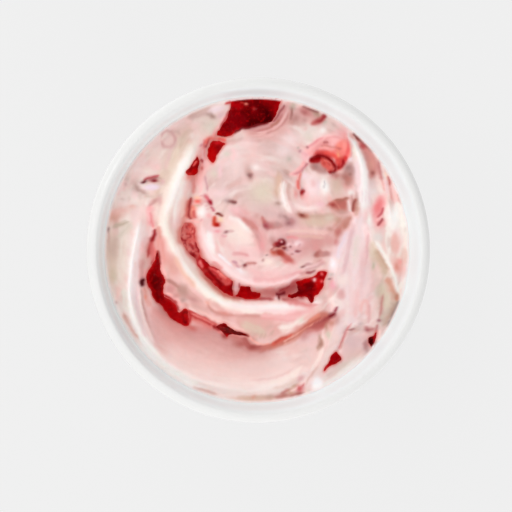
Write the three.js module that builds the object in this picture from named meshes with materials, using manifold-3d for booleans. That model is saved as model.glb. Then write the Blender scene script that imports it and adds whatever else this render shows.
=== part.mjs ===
// Strawberry ripple ice cream in a round glazed bowl, seen from above: spooned folds of ice cream
// fill the bowl to a little below its rim, and pools of red jam lie in the hollows of the folds.
// Millimetres, +Z up. The bowl stands on z = 0 and its axis is the z axis. +Y is the photo's top.

import * as THREE from 'three';
import { mergeVertices } from 'three/addons/utils/BufferGeometryUtils.js';
import Module from 'manifold-3d';

const wasm = await Module();
wasm.setup();

// Driving dimensions of the bowl.
const rimRadius = 60;
const bowlHeight = 46;
const lipRadius = 2;
const hollowRadius = 60;
const footRadius = 25;
const footWidth = 3.8;
const footFillet = 3;
const footChamfer = 0.7;

// Driving dimensions of the contents.
const fillRadius = 53.3;
const crownHeight = 0.5;
const crestLimit = 2.3;
const crestSquash = 0.35;
const wallFade = 6;
const wallShare = 0.4;
const poolDepth = 1.6;
const poolBulge = 0.7;
const poolShoulder = 2;
const gap = 0.3;

// How finely the faces follow the true shape.
const roundSides = 48;
const hollowSteps = 7;
const lipSteps = 6;
const outsideSteps = 5;
const undersideSteps = 3;
const neckSteps = 2;
const surfaceRings = 29;
const surfaceSides = 84;
const poolStep = 1.9;
const outlineStep = 1.8;
const pathStep = 1;
const strokeTail = 7;

// Heights that follow from them.
const lipHeight = bowlHeight - lipRadius;
const wallInnerRadius = rimRadius - 2 * lipRadius;
const centreHeight = lipHeight + Math.sqrt(hollowRadius ** 2 - wallInnerRadius ** 2);
const outsideRadius = Math.hypot(rimRadius, centreHeight - lipHeight);
const fillHeight = centreHeight - Math.sqrt(hollowRadius ** 2 - fillRadius ** 2);
const aboveRim = bowlHeight + 10;
const straightDown = -Math.PI / 2;

const glaze = new THREE.MeshStandardMaterial({ color: 0xf1f1ef, roughness: 0.15, metalness: 0 });
const iceCream = new THREE.MeshStandardMaterial({ color: 0xf3ddd6, roughness: 0.5, metalness: 0 });
const jam = new THREE.MeshStandardMaterial({ color: 0x8c0510, roughness: 0.12, metalness: 0 });

// Points of a circular arc in the bowl's section, from angle a to angle b, round a centre on x, z.
function arc(x, z, radius, a, b, steps) {
  const points = [];
  for (let i = 0; i <= steps; i += 1) {
    const angle = a + ((b - a) * i) / steps;
    points.push(new THREE.Vector2(x + radius * Math.cos(angle), z + radius * Math.sin(angle)));
  }
  return points;
}

// The angle at which a circle round the axis, at the hollow's centre height, is this wide.
function angleAt(width, radius) {
  return -Math.acos(width / radius);
}

// A section turned round the z axis.
function turned(section, sides) {
  const geometry = new THREE.LatheGeometry(section, sides);
  geometry.rotateX(Math.PI / 2);
  return geometry;
}

// A closed geometry as a solid that can be joined and cut.
function solid(geometry) {
  geometry.deleteAttribute('normal');
  geometry.deleteAttribute('uv');
  const merged = mergeVertices(geometry, 1e-4);
  const corners = merged.index.array;
  const faces = [];
  for (let i = 0; i < corners.length; i += 3) {
    const [a, b, c] = [corners[i], corners[i + 1], corners[i + 2]];
    if (a !== b && b !== c && c !== a) {
      faces.push(a, b, c);
    }
  }
  const vertProperties = new Float32Array(merged.attributes.position.array);
  const triVerts = new Uint32Array(faces);
  return new wasm.Manifold(new wasm.Mesh({ numProp: 3, vertProperties, triVerts }));
}

// The largest of a solid's separate pieces: scraps that a cut leaves are dropped.
function largestPiece(body) {
  const pieces = body.decompose();
  pieces.sort((a, b) => b.volume() - a.volume());
  return pieces[0];
}

function mesh(name, body, material) {
  const { vertProperties, triVerts } = body.getMesh();
  const geometry = new THREE.BufferGeometry();
  geometry.setAttribute('position', new THREE.BufferAttribute(vertProperties, 3));
  geometry.setIndex(new THREE.BufferAttribute(triVerts, 1));
  geometry.computeVertexNormals();
  const part = new THREE.Mesh(geometry, material);
  part.name = name;
  return part;
}

// The bowl: a round hollow, a round lip, an outside that keeps the wall's thickness, and a foot ring.
function bowlSection() {
  const hollowTo = angleAt(wallInnerRadius, hollowRadius);
  const hollow = arc(0, centreHeight, hollowRadius, straightDown, hollowTo, hollowSteps);
  hollow[0].x = 0;
  const lip = arc(rimRadius - lipRadius, lipHeight, lipRadius, Math.PI, 0, lipSteps);
  const outsideFrom = angleAt(rimRadius, outsideRadius);
  const outsideTo = angleAt(footRadius + footFillet, outsideRadius);
  const outside = arc(0, centreHeight, outsideRadius, outsideFrom, outsideTo, outsideSteps);
  const shoulder = outside[outsideSteps].y;
  const innerFoot = footRadius - footWidth;
  const underFrom = angleAt(innerFoot - footFillet / 2, outsideRadius);
  const underside = arc(0, centreHeight, outsideRadius, underFrom, straightDown, undersideSteps);
  underside[undersideSteps].x = 0;
  const neckX = footRadius + footFillet;
  const neck = arc(neckX, shoulder - footFillet, footFillet, Math.PI * 0.6, Math.PI, neckSteps);
  const foot = [
    ...neck,
    new THREE.Vector2(footRadius, footChamfer),
    new THREE.Vector2(footRadius - footChamfer, 0),
    new THREE.Vector2(innerFoot + footChamfer, 0),
    new THREE.Vector2(innerFoot, footChamfer),
    new THREE.Vector2(innerFoot, underside[0].y - footFillet / 2),
  ];
  return [...hollow, ...lip.slice(1), ...outside.slice(1), ...foot, ...underside].reverse();
}

// All that the contents can fill: the hollow, less the gap, carried on straight up past the rim.
function insideSection() {
  const radius = hollowRadius - gap;
  const wallTo = angleAt(wallInnerRadius - gap, radius);
  const wall = arc(0, centreHeight, radius, straightDown, wallTo, hollowSteps);
  wall[0].x = 0;
  const top = [new THREE.Vector2(wallInnerRadius - gap, aboveRim), new THREE.Vector2(0, aboveRim)];
  return [...wall, ...top];
}

// A smooth line through a few points of the plan, as short straight stretches.
function smoothLine(points, closed, step) {
  const corners = points.map(([x, y]) => new THREE.Vector3(x, y, 0));
  const curve = new THREE.CatmullRomCurve3(corners, closed, 'catmullrom', 0.5);
  const count = Math.ceil(curve.getLength() / step);
  const line = curve.getSpacedPoints(count);
  return closed ? line.slice(0, -1) : line;
}

// The nearest place of a line to x, y: how far it is, on which side (left is positive), and how
// far along the line it lies, from 0 to 1.
function nearest(line, x, y) {
  let best = { distance: Infinity, side: 1, share: 0 };
  for (let i = 0; i + 1 < line.length; i += 1) {
    const [a, b] = [line[i], line[i + 1]];
    const [alongX, alongY] = [b.x - a.x, b.y - a.y];
    const [fromX, fromY] = [x - a.x, y - a.y];
    const t = THREE.MathUtils.clamp((fromX * alongX + fromY * alongY) / (alongX ** 2 + alongY ** 2), 0, 1);
    const distance = Math.hypot(fromX - t * alongX, fromY - t * alongY);
    if (distance < best.distance) {
      const side = alongX * fromY - alongY * fromX >= 0 ? 1 : -1;
      best = { distance, side, share: (i + t) / (line.length - 1) };
    }
  }
  return best;
}

function ease(t) {
  return THREE.MathUtils.smoothstep(t, 0, 1);
}

// One pull of the spoon: a ridge (or a groove, where the height is negative) along a path. It falls
// away over its left and right widths, seen along the path, and fades out over a share of each end.
function stroke(points, { height, left, right, sharpness = 1.6, start = 0.1, end = 0.1 }) {
  const line = smoothLine(points, false, pathStep);
  const reach = Math.max(left, right) * strokeTail ** (1 / sharpness);
  return (x, y) => {
    const { distance, side, share } = nearest(line, x, y);
    if (distance > reach) {
      return 0;
    }
    const profile = Math.exp(-((distance / (side > 0 ? left : right)) ** sharpness));
    const starting = start > 0 ? ease(share / start) : 1;
    const ending = end > 0 ? ease((1 - share) / end) : 1;
    return height * profile * starting * ending;
  };
}

// A rounded swell, or a dip where the height is negative.
function swell(centreX, centreY, radiusX, radiusY, { height, turn = 0, sharpness = 2 }) {
  const angle = THREE.MathUtils.degToRad(turn);
  return (x, y) => {
    const u = (x - centreX) * Math.cos(angle) + (y - centreY) * Math.sin(angle);
    const v = (y - centreY) * Math.cos(angle) - (x - centreX) * Math.sin(angle);
    return height * Math.exp(-(Math.hypot(u / radiusX, v / radiusY) ** sharpness));
  };
}

// The main ridge runs from the top down the left side and along the bottom. The groove inside it
// holds the inner pools, and the inner fold is that groove's other bank.
const mainRidge = stroke(
  [
    [-20, 39], [-26, 28.5], [-30.5, 18], [-32.8, 9], [-29.8, 1], [-24.8, -8.2], [-17, -16], [-6, -19.6],
    [6, -20.2], [18, -19.8], [27, -17],
  ],
  { height: 3.6, left: 2.4, right: 3.4, sharpness: 1.5, end: 0.08 },
);
const innerGroove = stroke(
  [
    [-8, 45], [-15, 37.5], [-21.5, 29], [-23.6, 19], [-24.8, 8], [-22, -2], [-15, -10], [-7, -15],
    [3, -16], [13, -14.8], [21.5, -11.5],
  ],
  { height: -3, left: 3, right: 2.4, sharpness: 2.2, start: 0.04, end: 0.08 },
);
const innerFold = stroke(
  [[-20.5, 16], [-19.5, 6.5], [-16, -2], [-9, -8.9], [0, -12.2], [9, -11.2], [19, -7]],
  { height: 2, left: 4.5, right: 1.5, sharpness: 1.5, start: 0.15, end: 0.2 },
);

// Outside the main ridge a groove holds the outer pool, and a flap of ice cream overhangs the
// smooth scoop at the bottom. A thin ridge pushed up along the bowl's wall bounds the scoop.
const outerGroove = stroke(
  [[-36, 14], [-37.6, 6], [-36.4, -4], [-36, -12], [-32, -19.3], [-26.5, -25], [-18, -28]],
  { height: -2.4, left: 2.2, right: 2.6, sharpness: 2, start: 0.12, end: 0.25 },
);
const flapBody = stroke(
  [[-30, -10], [-25, -16.5], [-14, -22], [-2, -26], [8, -25], [20, -20.5]],
  { height: 1.6, left: 3, right: 4.2, sharpness: 3, end: 0.15 },
);
const flapEdge = stroke(
  [
    [-33.6, -6], [-32.3, -11], [-32.6, -16.2], [-28.9, -18.5], [-24, -21], [-15, -25.8], [-8, -28.4],
    [1.5, -33.4], [8, -30.8], [18, -25.9], [27, -20.6],
  ],
  { height: 1.9, left: 3, right: 1.2, sharpness: 2, start: 0.12, end: 0.12 },
);
const scoop = stroke(
  [[-39, -8], [-36.5, -20], [-28, -32], [-14, -38.5], [0, -40.5], [12, -37.5], [21, -29]],
  { height: -3.4, left: 8, right: 6, sharpness: 2.8, start: 0.2, end: 0.25 },
);
const leftWallRidge = stroke(
  [
    [-39.5, 16], [-41.5, 8], [-44, -4], [-44.7, -16], [-41.5, -28.5], [-34, -38.5], [-23, -45.3],
    [-9, -49], [6, -49.6],
  ],
  { height: 2.4, left: 2.2, right: 2.2, sharpness: 1.5, start: 0.12, end: 0.3 },
);
const bottomGroove = stroke(
  [[5, -52], [13, -48.2], [19, -43.5]],
  { height: -1.2, left: 1.4, right: 1.2, start: 0, end: 0.3 },
);

// The broad ribbon down the right side, with the valley, crest and trough between it and the wall.
const rightRibbon = stroke(
  [
    [27, 43.5], [33.8, 37.5], [36, 28], [35, 15.5], [32.3, 7], [28, -3], [26, -14], [27, -24],
    [23.5, -35], [19.5, -45],
  ],
  { height: 2.2, left: 5.5, right: 1.5, sharpness: 1.7, start: 0.08, end: 0.2 },
);
const rightValley = stroke(
  [[33.5, 41], [38.3, 33.5], [40.8, 25.5], [40.5, 19]],
  { height: -2.4, left: 1.8, right: 2, sharpness: 2, start: 0.2, end: 0.3 },
);
const rightWallRidge = stroke(
  [[40.5, 35.5], [44.6, 25], [46.2, 13], [47, 6]],
  { height: 1.4, left: 1.6, right: 1.2, start: 0.2, end: 0.3 },
);
const rightCrest = stroke(
  [[37, 10], [40.8, 1.2], [46.6, -9.2], [51.5, -20]],
  { height: 2.2, left: 5, right: 1.9, sharpness: 1.7, start: 0.15, end: 0 },
);
const rightTrough = stroke(
  [[39.5, -1], [43, -11.5], [46, -22], [46, -29]],
  { height: -1.8, left: 2.2, right: 4, sharpness: 2, start: 0.2, end: 0.15 },
);

// The curl at the upper right, a rolled-over hood with a slit under it, and the mound below it.
const curlHood = swell(25.5, 35.5, 7, 6, { height: 1.6, sharpness: 2.4 });
const curlLip = stroke(
  [[14.5, 34.5], [18.5, 38.2], [25, 40.5], [30.8, 38], [32, 33], [29, 28.5], [25.5, 26.8]],
  { height: 1.6, left: 1.6, right: 2.6, start: 0.12, end: 0.15 },
);
const curlSlit = stroke(
  [[17.6, 31], [21, 32.6], [25, 31.3], [27.3, 28], [24.8, 26.6]],
  { height: -1.8, left: 1, right: 1.1, sharpness: 2 },
);
const curlTip = swell(24.8, 29.5, 2.5, 2, { height: 1.4, turn: -25, sharpness: 2.4 });
const moundUnderCurl = swell(21.8, 22, 5, 4.6, { height: 2.4 });
const midHollow = swell(30.5, 25, 3.2, 4, { height: -1.6 });
const midLedge = stroke(
  [[24.5, 16.3], [29, 18], [33.4, 17.4]],
  { height: 1.6, left: 2.6, right: 0.8, start: 0.25, end: 0.2 },
);

// The quiet middle: a plateau, a mound with a crescent edge and a fold, and the hollows round them.
const plateau = swell(0, 29, 15, 11, { height: 1.2, turn: 20, sharpness: 3 });
const mound = swell(-11, 1, 8, 9, { height: 1, turn: 20, sharpness: 2.4 });
const middleDip = swell(10, 4, 10, 6, { height: -0.8 });
const moundCrescent = stroke(
  [[-13.5, 12.8], [-6, 10], [-1.5, 4.5], [0.8, -2], [3.5, -4.6]],
  { height: 1, left: 1.4, right: 3.4, start: 0.15, end: 0.25 },
);
const middleFold = stroke(
  [[8, 27.2], [8.3, 20], [13, 12]],
  { height: 1, left: 2.4, right: 1, start: 0.2, end: 0.3 },
);
const topFold = stroke(
  [[-6, 40.7], [3, 42], [8.5, 46], [10, 50.5]],
  { height: 1.2, left: 1, right: 2.4, start: 0.15, end: 0 },
);
const leftDent = swell(-37, 22, 3.2, 1.6, { height: 1.2, turn: 10, sharpness: 2.4 });
const leftWallDip = swell(-49.5, 2, 4.2, 11, { height: -1, sharpness: 2.4 });

const relief = [
  mainRidge, innerGroove, innerFold, outerGroove, flapBody, flapEdge, scoop, leftWallRidge, bottomGroove,
  rightRibbon, rightValley, rightWallRidge, rightCrest, rightTrough, curlHood, curlLip, curlSlit, curlTip,
  moundUnderCurl, midHollow, midLedge, plateau, mound, middleDip, moundCrescent, middleFold, topFold, leftDent,
  leftWallDip,
];

// The ice cream's surface. Its crests are pressed flatter above a limit, and it calms at the wall.
function surface(x, y) {
  const radius = Math.hypot(x, y);
  const calm = wallShare + (1 - wallShare) * ease((fillRadius - radius) / wallFade);
  const raw = relief.reduce((sum, feature) => sum + feature(x, y), 0) * calm;
  const pressed = raw > crestLimit ? crestLimit + (raw - crestLimit) * crestSquash : raw;
  return fillHeight + crownHeight * (1 - (radius / fillRadius) ** 2) + pressed;
}

// The jam pools' outlines in plan. Those at the bowl's wall run on into it and are cut by it.
const poolOutlines = {
  jam_top: [
    [-11.8, 51.8], [-5, 54.4], [3, 54.6], [8, 53.8], [7.6, 48.2], [5, 45], [1, 43.5], [-4, 42.4], [-9, 40],
    [-12, 39.2], [-14.2, 40.2], [-12.6, 43], [-9.6, 48],
  ],
  jam_upper_left_1: [
    [-14.8, 37.9], [-11.4, 37], [-13.2, 34.8], [-15, 31], [-16.2, 30], [-17.4, 32.8], [-17, 36.6],
  ],
  jam_upper_left_2: [[-20.8, 32.6], [-22.8, 30], [-25.2, 26.6], [-23.6, 25.5], [-21, 27], [-20.2, 30]],
  jam_inner_left: [
    [-25.4, 9.4], [-26.9, 6], [-25.8, 0.6], [-22.2, -3.4], [-19, -7.6], [-14, -13], [-9.6, -16], [-9, -11.2],
    [-12, -8.8], [-15, -6], [-19.4, -2.6], [-21, 2], [-22, 8],
  ],
  jam_inner_centre: [
    [-6.4, -12.4], [-3, -12.8], [-0.4, -14.8], [0.4, -17], [-3, -17.8], [-7.6, -16.4],
  ],
  jam_inner_right: [
    [13.2, -11.2], [18.5, -9.7], [24, -8], [22.6, -12.6], [20.4, -16.8], [18.2, -18.8], [15.4, -17],
    [10.4, -17], [14.6, -14.6],
  ],
  jam_outer_left: [
    [-35.2, -0.6], [-35.9, -3.6], [-38.8, -8], [-38.4, -13], [-35.6, -18.2], [-31, -23], [-26.4, -27.2],
    [-23.2, -26], [-26.6, -20.8], [-29.2, -18.2], [-33, -15.6], [-32.4, -10.4], [-34.1, -5],
  ],
  jam_outer_bottom: [
    [-15, -26.6], [-12.2, -25.6], [-8.2, -28.2], [-3.2, -30.4], [-9.8, -31.2], [-13.2, -28.8],
  ],
  jam_lower_right: [[27, -35.8], [29.4, -38.6], [26.6, -41.2], [22.9, -42.8], [25, -38.4]],
  jam_right_edge: [[39.3, -31], [41.8, -29], [43, -33.2], [40.6, -36.4], [38.6, -32.8]],
};

// An outline moved outwards by the same amount all round.
function grown(line, amount) {
  return line.map((point, i) => {
    const before = line[(i + line.length - 1) % line.length];
    const after = line[(i + 1) % line.length];
    const along = new THREE.Vector2(after.x - before.x, after.y - before.y).normalize();
    return new THREE.Vector2(point.x + along.y * amount, point.y - along.x * amount);
  });
}

// A straight-sided block that stands on an outline of the plan.
function prism(line, bottom, top) {
  const shape = new THREE.Shape(line.map((point) => new THREE.Vector2(point.x, point.y)));
  const geometry = new THREE.ExtrudeGeometry(shape, { depth: top - bottom, bevelEnabled: false });
  geometry.translate(0, 0, bottom);
  return solid(geometry);
}

// A closed geometry with its upper points, above z = 0, moved to a height over the plan.
function topped(geometry, height) {
  const { position } = geometry.attributes;
  for (let i = 0; i < position.count; i += 1) {
    if (position.getZ(i) > 0) {
      position.setZ(i, height(position.getX(i), position.getY(i)));
    }
  }
  return solid(geometry);
}

// A block over a rectangle of the plan, with its top in steps of about the given size.
function rectangularBlock(low, high, step, height) {
  const [width, depth] = [high.x - low.x, high.y - low.y];
  const across = Math.ceil(width / step);
  const along = Math.ceil(depth / step);
  const geometry = new THREE.BoxGeometry(width, depth, bowlHeight, across, along, 1);
  geometry.translate((low.x + high.x) / 2, (low.y + high.y) / 2, 0);
  return topped(geometry, height);
}

// A round block as wide as the bowl, with its top in rings, which the folds mostly follow.
function roundBlock(height) {
  const section = [new THREE.Vector2(0, -bowlHeight), new THREE.Vector2(rimRadius, -bowlHeight)];
  for (let i = surfaceRings; i >= 0; i -= 1) {
    section.push(new THREE.Vector2((rimRadius * i) / surfaceRings, bowlHeight));
  }
  return topped(turned(section, surfaceSides), height);
}

const insideOfBowl = solid(turned(insideSection(), roundSides));
let contents = roundBlock(surface).intersect(insideOfBowl);

// Each pool lies in a hollow of its own, bulges a little above the ice cream round it, and clears
// the hollow by the gap.
const pools = Object.entries(poolOutlines).map(([name, outline]) => {
  const drawn = smoothLine(outline, true, outlineStep);
  const line = THREE.ShapeUtils.area(drawn) > 0 ? drawn : drawn.reverse();
  const shore = [...line, line[0]];
  const floor = Math.min(...line.map((point) => surface(point.x, point.y))) - poolDepth;
  const bulged = (x, y) => {
    const { distance, side } = nearest(shore, x, y);
    return surface(x, y) + poolBulge * ease((side * distance) / poolShoulder);
  };
  const extent = new THREE.Box2().setFromPoints(line).expandByScalar(poolStep);
  const top = rectangularBlock(extent.min, extent.max, poolStep, bulged);
  contents = contents.subtract(prism(grown(line, gap), floor, aboveRim));
  const pool = prism(line, floor + gap, aboveRim).intersect(top).intersect(insideOfBowl);
  return mesh(name, largestPiece(pool), jam);
});

const bowl = mesh('bowl', solid(turned(bowlSection(), roundSides)), glaze);
const scooped = mesh('ice_cream', largestPiece(contents), iceCream);

const dessert = new THREE.Group();
dessert.add(bowl, scooped, ...pools);

export default dessert;
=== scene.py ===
import math

import bpy
import numpy as np
from mathutils import Matrix, Vector


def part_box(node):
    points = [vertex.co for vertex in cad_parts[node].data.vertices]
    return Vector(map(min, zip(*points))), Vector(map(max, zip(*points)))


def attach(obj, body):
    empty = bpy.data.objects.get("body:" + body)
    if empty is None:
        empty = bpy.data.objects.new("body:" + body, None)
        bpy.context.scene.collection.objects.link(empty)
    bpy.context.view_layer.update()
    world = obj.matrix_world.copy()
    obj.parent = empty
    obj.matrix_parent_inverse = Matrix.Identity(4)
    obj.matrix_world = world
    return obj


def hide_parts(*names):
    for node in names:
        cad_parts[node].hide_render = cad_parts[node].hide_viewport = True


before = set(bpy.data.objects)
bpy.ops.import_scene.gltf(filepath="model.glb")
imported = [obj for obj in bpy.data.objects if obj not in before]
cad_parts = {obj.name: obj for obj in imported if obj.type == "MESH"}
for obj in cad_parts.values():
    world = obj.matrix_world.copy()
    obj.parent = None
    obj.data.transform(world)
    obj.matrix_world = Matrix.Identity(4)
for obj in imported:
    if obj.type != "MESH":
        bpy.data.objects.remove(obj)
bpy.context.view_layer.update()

# The bowl. A round white stoneware bowl, turned on a wheel: a round hollow, a rounded lip and a plain
# foot ring, under a glossy white glaze. The ring's flat bottom, which stood in the kiln, is bare.
MM = 0.001
rim_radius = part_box("bowl")[1].x / MM
bowl_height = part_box("bowl")[1].z / MM
lip_radius = 2
hollow_radius = 60
foot_radius = 25
foot_width = 3.8
foot_fillet = 3
foot_chamfer = 0.7
bowl_sides = 192
flare_radius = 54.1
crest_radius = 57.1
lip_edge = 43.4
lip_height = bowl_height - lip_radius
centre_height = lip_height + math.sqrt(hollow_radius**2 - (rim_radius - 2 * lip_radius) ** 2)
outside_radius = math.hypot(rim_radius, centre_height - lip_height)


class Wire:
    """A value on its way through a material: an expression on it adds its Math nodes."""

    def __init__(self, finish, socket):
        self.finish = finish
        self.socket = socket

    def maths(self, operation, a, b):
        return self.finish.node("ShaderNodeMath", {"operation": operation}, {0: a, 1: b})

    def __add__(self, other):
        return self.maths("ADD", self, other)

    def __sub__(self, other):
        return self.maths("SUBTRACT", self, other)

    def __rsub__(self, other):
        return self.maths("SUBTRACT", other, self)

    def __mul__(self, other):
        return self.maths("MULTIPLY", self, other)

    __radd__ = __add__
    __rmul__ = __mul__

    def above(self, edge, width):
        """0 below the edge and 1 above it, with a soft step of that width."""
        settings = {"interpolation_type": "SMOOTHSTEP"}
        inputs = {"Value": self, "From Min": edge - width / 2, "From Max": edge + width / 2}
        return self.finish.node("ShaderNodeMapRange", settings, inputs)


class Finish:
    """A material, made of nodes round one Principled shader."""

    def __init__(self, name, **constants):
        self.material = bpy.data.materials.new(name)
        self.material.use_nodes = True
        self.tree = self.material.node_tree
        self.shader = self.tree.nodes["Principled BSDF"]
        self.dress({key.replace("_", " "): value for key, value in constants.items()})

    def plug(self, socket, value):
        if isinstance(value, Wire):
            self.tree.links.new(value.socket, socket)
        else:
            socket.default_value = value

    def node(self, kind, settings, inputs, output=0):
        made = self.tree.nodes.new(kind)
        for name, value in settings.items():
            setattr(made, name, value)
        for name, value in inputs.items():
            self.plug(made.inputs[name], value)
        return Wire(self, made.outputs[output])

    def dress(self, inputs):
        for name, value in inputs.items():
            self.plug(self.shader.inputs[name], value)

    def place(self):
        return self.node("ShaderNodeTexCoord", {}, {}, "Object")

    def noise(self, size_mm, detail=2.0):
        inputs = {"Vector": self.place(), "Scale": 1 / (size_mm * MM), "Detail": detail}
        return self.node("ShaderNodeTexNoise", {}, inputs, "Fac")

    def mix(self, factor, a, b):
        return self.node("ShaderNodeMix", {"data_type": "RGBA"}, {0: factor, 6: a, 7: b}, 2)

    def bump(self, height, distance_mm, strength=1.0):
        inputs = {"Height": height, "Distance": distance_mm * MM, "Strength": strength}
        return self.node("ShaderNodeBump", {}, inputs)


def linear(colour):
    """A colour as seen, 0 to 255, as the linear values that the shader takes."""
    share = np.asarray(colour, float) / 255
    return np.where(share <= 0.04045, share / 12.92, ((share + 0.055) / 1.055) ** 2.4)


def rgba(colour):
    return (*linear(colour), 1.0)


def arc(x, z, radius, start, end, steps):
    angles = start + (end - start) * np.arange(steps + 1) / steps
    return [(x + radius * math.cos(a), z + radius * math.sin(a)) for a in angles]


def angle_at(width, radius):
    return -math.acos(width / radius)


def smooth_step_between(low, high, share):
    """A point on the curve that leaves the hollow along its slope and comes level at the lip's crest."""
    rise = (centre_height - low[1]) / hollow_radius, low[0] / hollow_radius
    s, t = share, share - 1
    start, end = (1 + 2 * s) * t * t, s * s * (3 - 2 * s)
    leave, arrive = 6.5 * s * t * t, 4.5 * s * s * t
    return (start * low[0] + end * high[0] + leave * rise[0] + arrive,
            start * low[1] + end * high[1] + leave * rise[1])


def bowl_section():
    """The section from the hollow's centre over the lip and down to the middle of the underside."""
    straight_down = -math.pi / 2
    inner_foot = foot_radius - foot_width
    hollow = arc(0, centre_height, hollow_radius, straight_down, angle_at(flare_radius, hollow_radius), 34)
    crest = crest_radius, bowl_height
    flare = [smooth_step_between(hollow[-1], crest, share / 12) for share in range(1, 13)]
    roll = [(crest_radius + (rim_radius - crest_radius) * math.sin(a),
             lip_edge + (bowl_height - lip_edge) * math.cos(a))
            for a in (math.pi / 2 * share / 10 for share in range(1, 11))]
    lip = [hollow[-1], *flare, *roll]
    outside = arc(0, centre_height, outside_radius, angle_at(rim_radius - 0.3, outside_radius),
                  angle_at(foot_radius + foot_fillet, outside_radius), 26)
    outside.insert(0, lip[-1])
    neck = arc(foot_radius + foot_fillet, outside[-1][1] - foot_fillet, foot_fillet,
               math.pi * 0.6, math.pi, 8)
    chamfer = arc(foot_radius - foot_chamfer, foot_chamfer, foot_chamfer, 0, straight_down, 4)
    inner_chamfer = arc(inner_foot + foot_chamfer, foot_chamfer, foot_chamfer, straight_down, -math.pi, 4)
    underside = arc(0, centre_height, outside_radius,
                    angle_at(inner_foot - foot_fillet / 2, outside_radius), straight_down, 10)
    inner_wall = [(inner_foot, underside[0][1] - foot_fillet / 2)]
    return hollow[1:] + lip[1:] + outside[1:] + neck + chamfer + inner_chamfer + inner_wall + underside[:-1]


def deselect_everything():
    bpy.ops.object.select_all(action="DESELECT")


def named(name):
    piece = bpy.context.object
    piece.name = name
    piece.data.name = name
    return piece


def select_vertices(piece, wanted):
    """Selects, in edit mode, the vertices that wanted(x, y, z) picks, places in mm."""
    bpy.ops.object.mode_set(mode="OBJECT")
    places = vertex_places(piece)
    piece.data.polygons.foreach_set("select", np.zeros(len(piece.data.polygons), bool))
    piece.data.edges.foreach_set("select", np.zeros(len(piece.data.edges), bool))
    piece.data.vertices.foreach_set("select", wanted(*places.T))
    bpy.ops.object.mode_set(mode="EDIT")


def vertex_places(piece):
    places = np.empty(len(piece.data.vertices) * 3)
    piece.data.vertices.foreach_get("co", places)
    return places.reshape(-1, 3) / MM


def extrude_ring(ratio, drop):
    """Draws the selected ring of edges on to a new ring, that many times as wide, drop mm higher."""
    bpy.ops.mesh.extrude_region_move(TRANSFORM_OT_translate={"value": (0, 0, drop * MM)})
    bpy.ops.transform.resize(value=(ratio, ratio, 1))


def close_to_a_point(rise):
    bpy.ops.mesh.extrude_region_move(TRANSFORM_OT_translate={"value": (0, 0, rise * MM)})
    bpy.ops.mesh.merge(type="COLLAPSE")


deselect_everything()
section = bowl_section()
bottom = centre_height - hollow_radius
first_radius, first_height = section[0]
bpy.ops.mesh.primitive_circle_add(vertices=bowl_sides, radius=first_radius * MM, fill_type="TRIFAN",
                                  location=(0, 0, first_height * MM))
bpy.ops.object.transform_apply(location=True)
bowl = named("bowl_glazed")
bpy.ops.object.mode_set(mode="EDIT")
bpy.ops.mesh.select_mode(type="VERT")
select_vertices(bowl, lambda x, y, z: np.hypot(x, y) > first_radius / 2)
radius, height = first_radius, first_height
for next_radius, next_height in section[1:]:
    extrude_ring(next_radius / radius, next_height - height)
    radius, height = next_radius, next_height
close_to_a_point(centre_height - outside_radius - height)
select_vertices(bowl, lambda x, y, z: (np.hypot(x, y) < 0.01) & (z > 3))
bpy.ops.transform.translate(value=(0, 0, (bottom - first_height) * MM))
bpy.ops.mesh.select_all(action="SELECT")
bpy.ops.mesh.normals_make_consistent(inside=False)
bpy.ops.object.mode_set(mode="OBJECT")
bpy.ops.object.shade_smooth()

glaze = Finish("white_glaze", Roughness=0.16, IOR=1.5, Specular_IOR_Level=0.2)
height_up = glaze.node("ShaderNodeSeparateXYZ", {}, {"Vector": glaze.place()}, "Z")
glazed = height_up.above(0.35 * MM, 0.3 * MM)
cloud = glaze.noise(14, 3.0)
lip_white = glaze.mix(cloud, rgba((231, 231, 230)), rgba((235, 235, 234)))
# Painted light: the hollow's white is cooler and a little brighter than the lip's, offsetting its shade and
# the pink light thrown on it by the ice cream.
hollow_white_painted_lighter = glaze.mix(cloud, rgba((232, 239, 240)), rgba((236, 243, 244)))
across = glaze.node("ShaderNodeSeparateXYZ", {}, {"Vector": glaze.place()}, "X")
along = glaze.node("ShaderNodeSeparateXYZ", {}, {"Vector": glaze.place()}, "Y")
spread = across * across + along * along
hollow_edge = (crest_radius - 0.7) * MM
past_edge = spread.above(hollow_edge**2, 2.4 * MM * hollow_edge)
drop = height_up - centre_height * MM
wall_middle = (hollow_radius + outside_radius) / 2 * MM
outside_wall = (spread + drop * drop).above(wall_middle**2, 1.2 * MM * wall_middle)
in_hollow = (1 - past_edge) * (1 - outside_wall)
glaze.dress({
    "Base Color": glaze.mix(glazed, rgba((214, 205, 192)), glaze.mix(in_hollow, lip_white, hollow_white_painted_lighter)),
    "Roughness": 0.8 - glazed * 0.62 + (cloud - 0.5) * 0.06,
    "Normal": glaze.bump(glaze.noise(3.2, 1.0), 0.02, 0.6),
})
bowl.data.materials.append(glaze.material)
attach(bowl, "root")
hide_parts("bowl")

# The ice cream. Softened strawberry ice cream pressed into the bowl and pulled about with a spoon:
# each pull leaves a ridge, a groove or a fold, and drags streaks of jam through the cream.
fill_radius = 53.3
fill_height = centre_height - math.sqrt(hollow_radius**2 - fill_radius**2)
crown_height = 0.5
crest_limit = 2.3
crest_squash = 0.35
wall_fade = 6
wall_share = 0.08
into_wall = 0.5
edge_creep = 0.7
grid_cells = 286
edge_radius = 54.9

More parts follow.
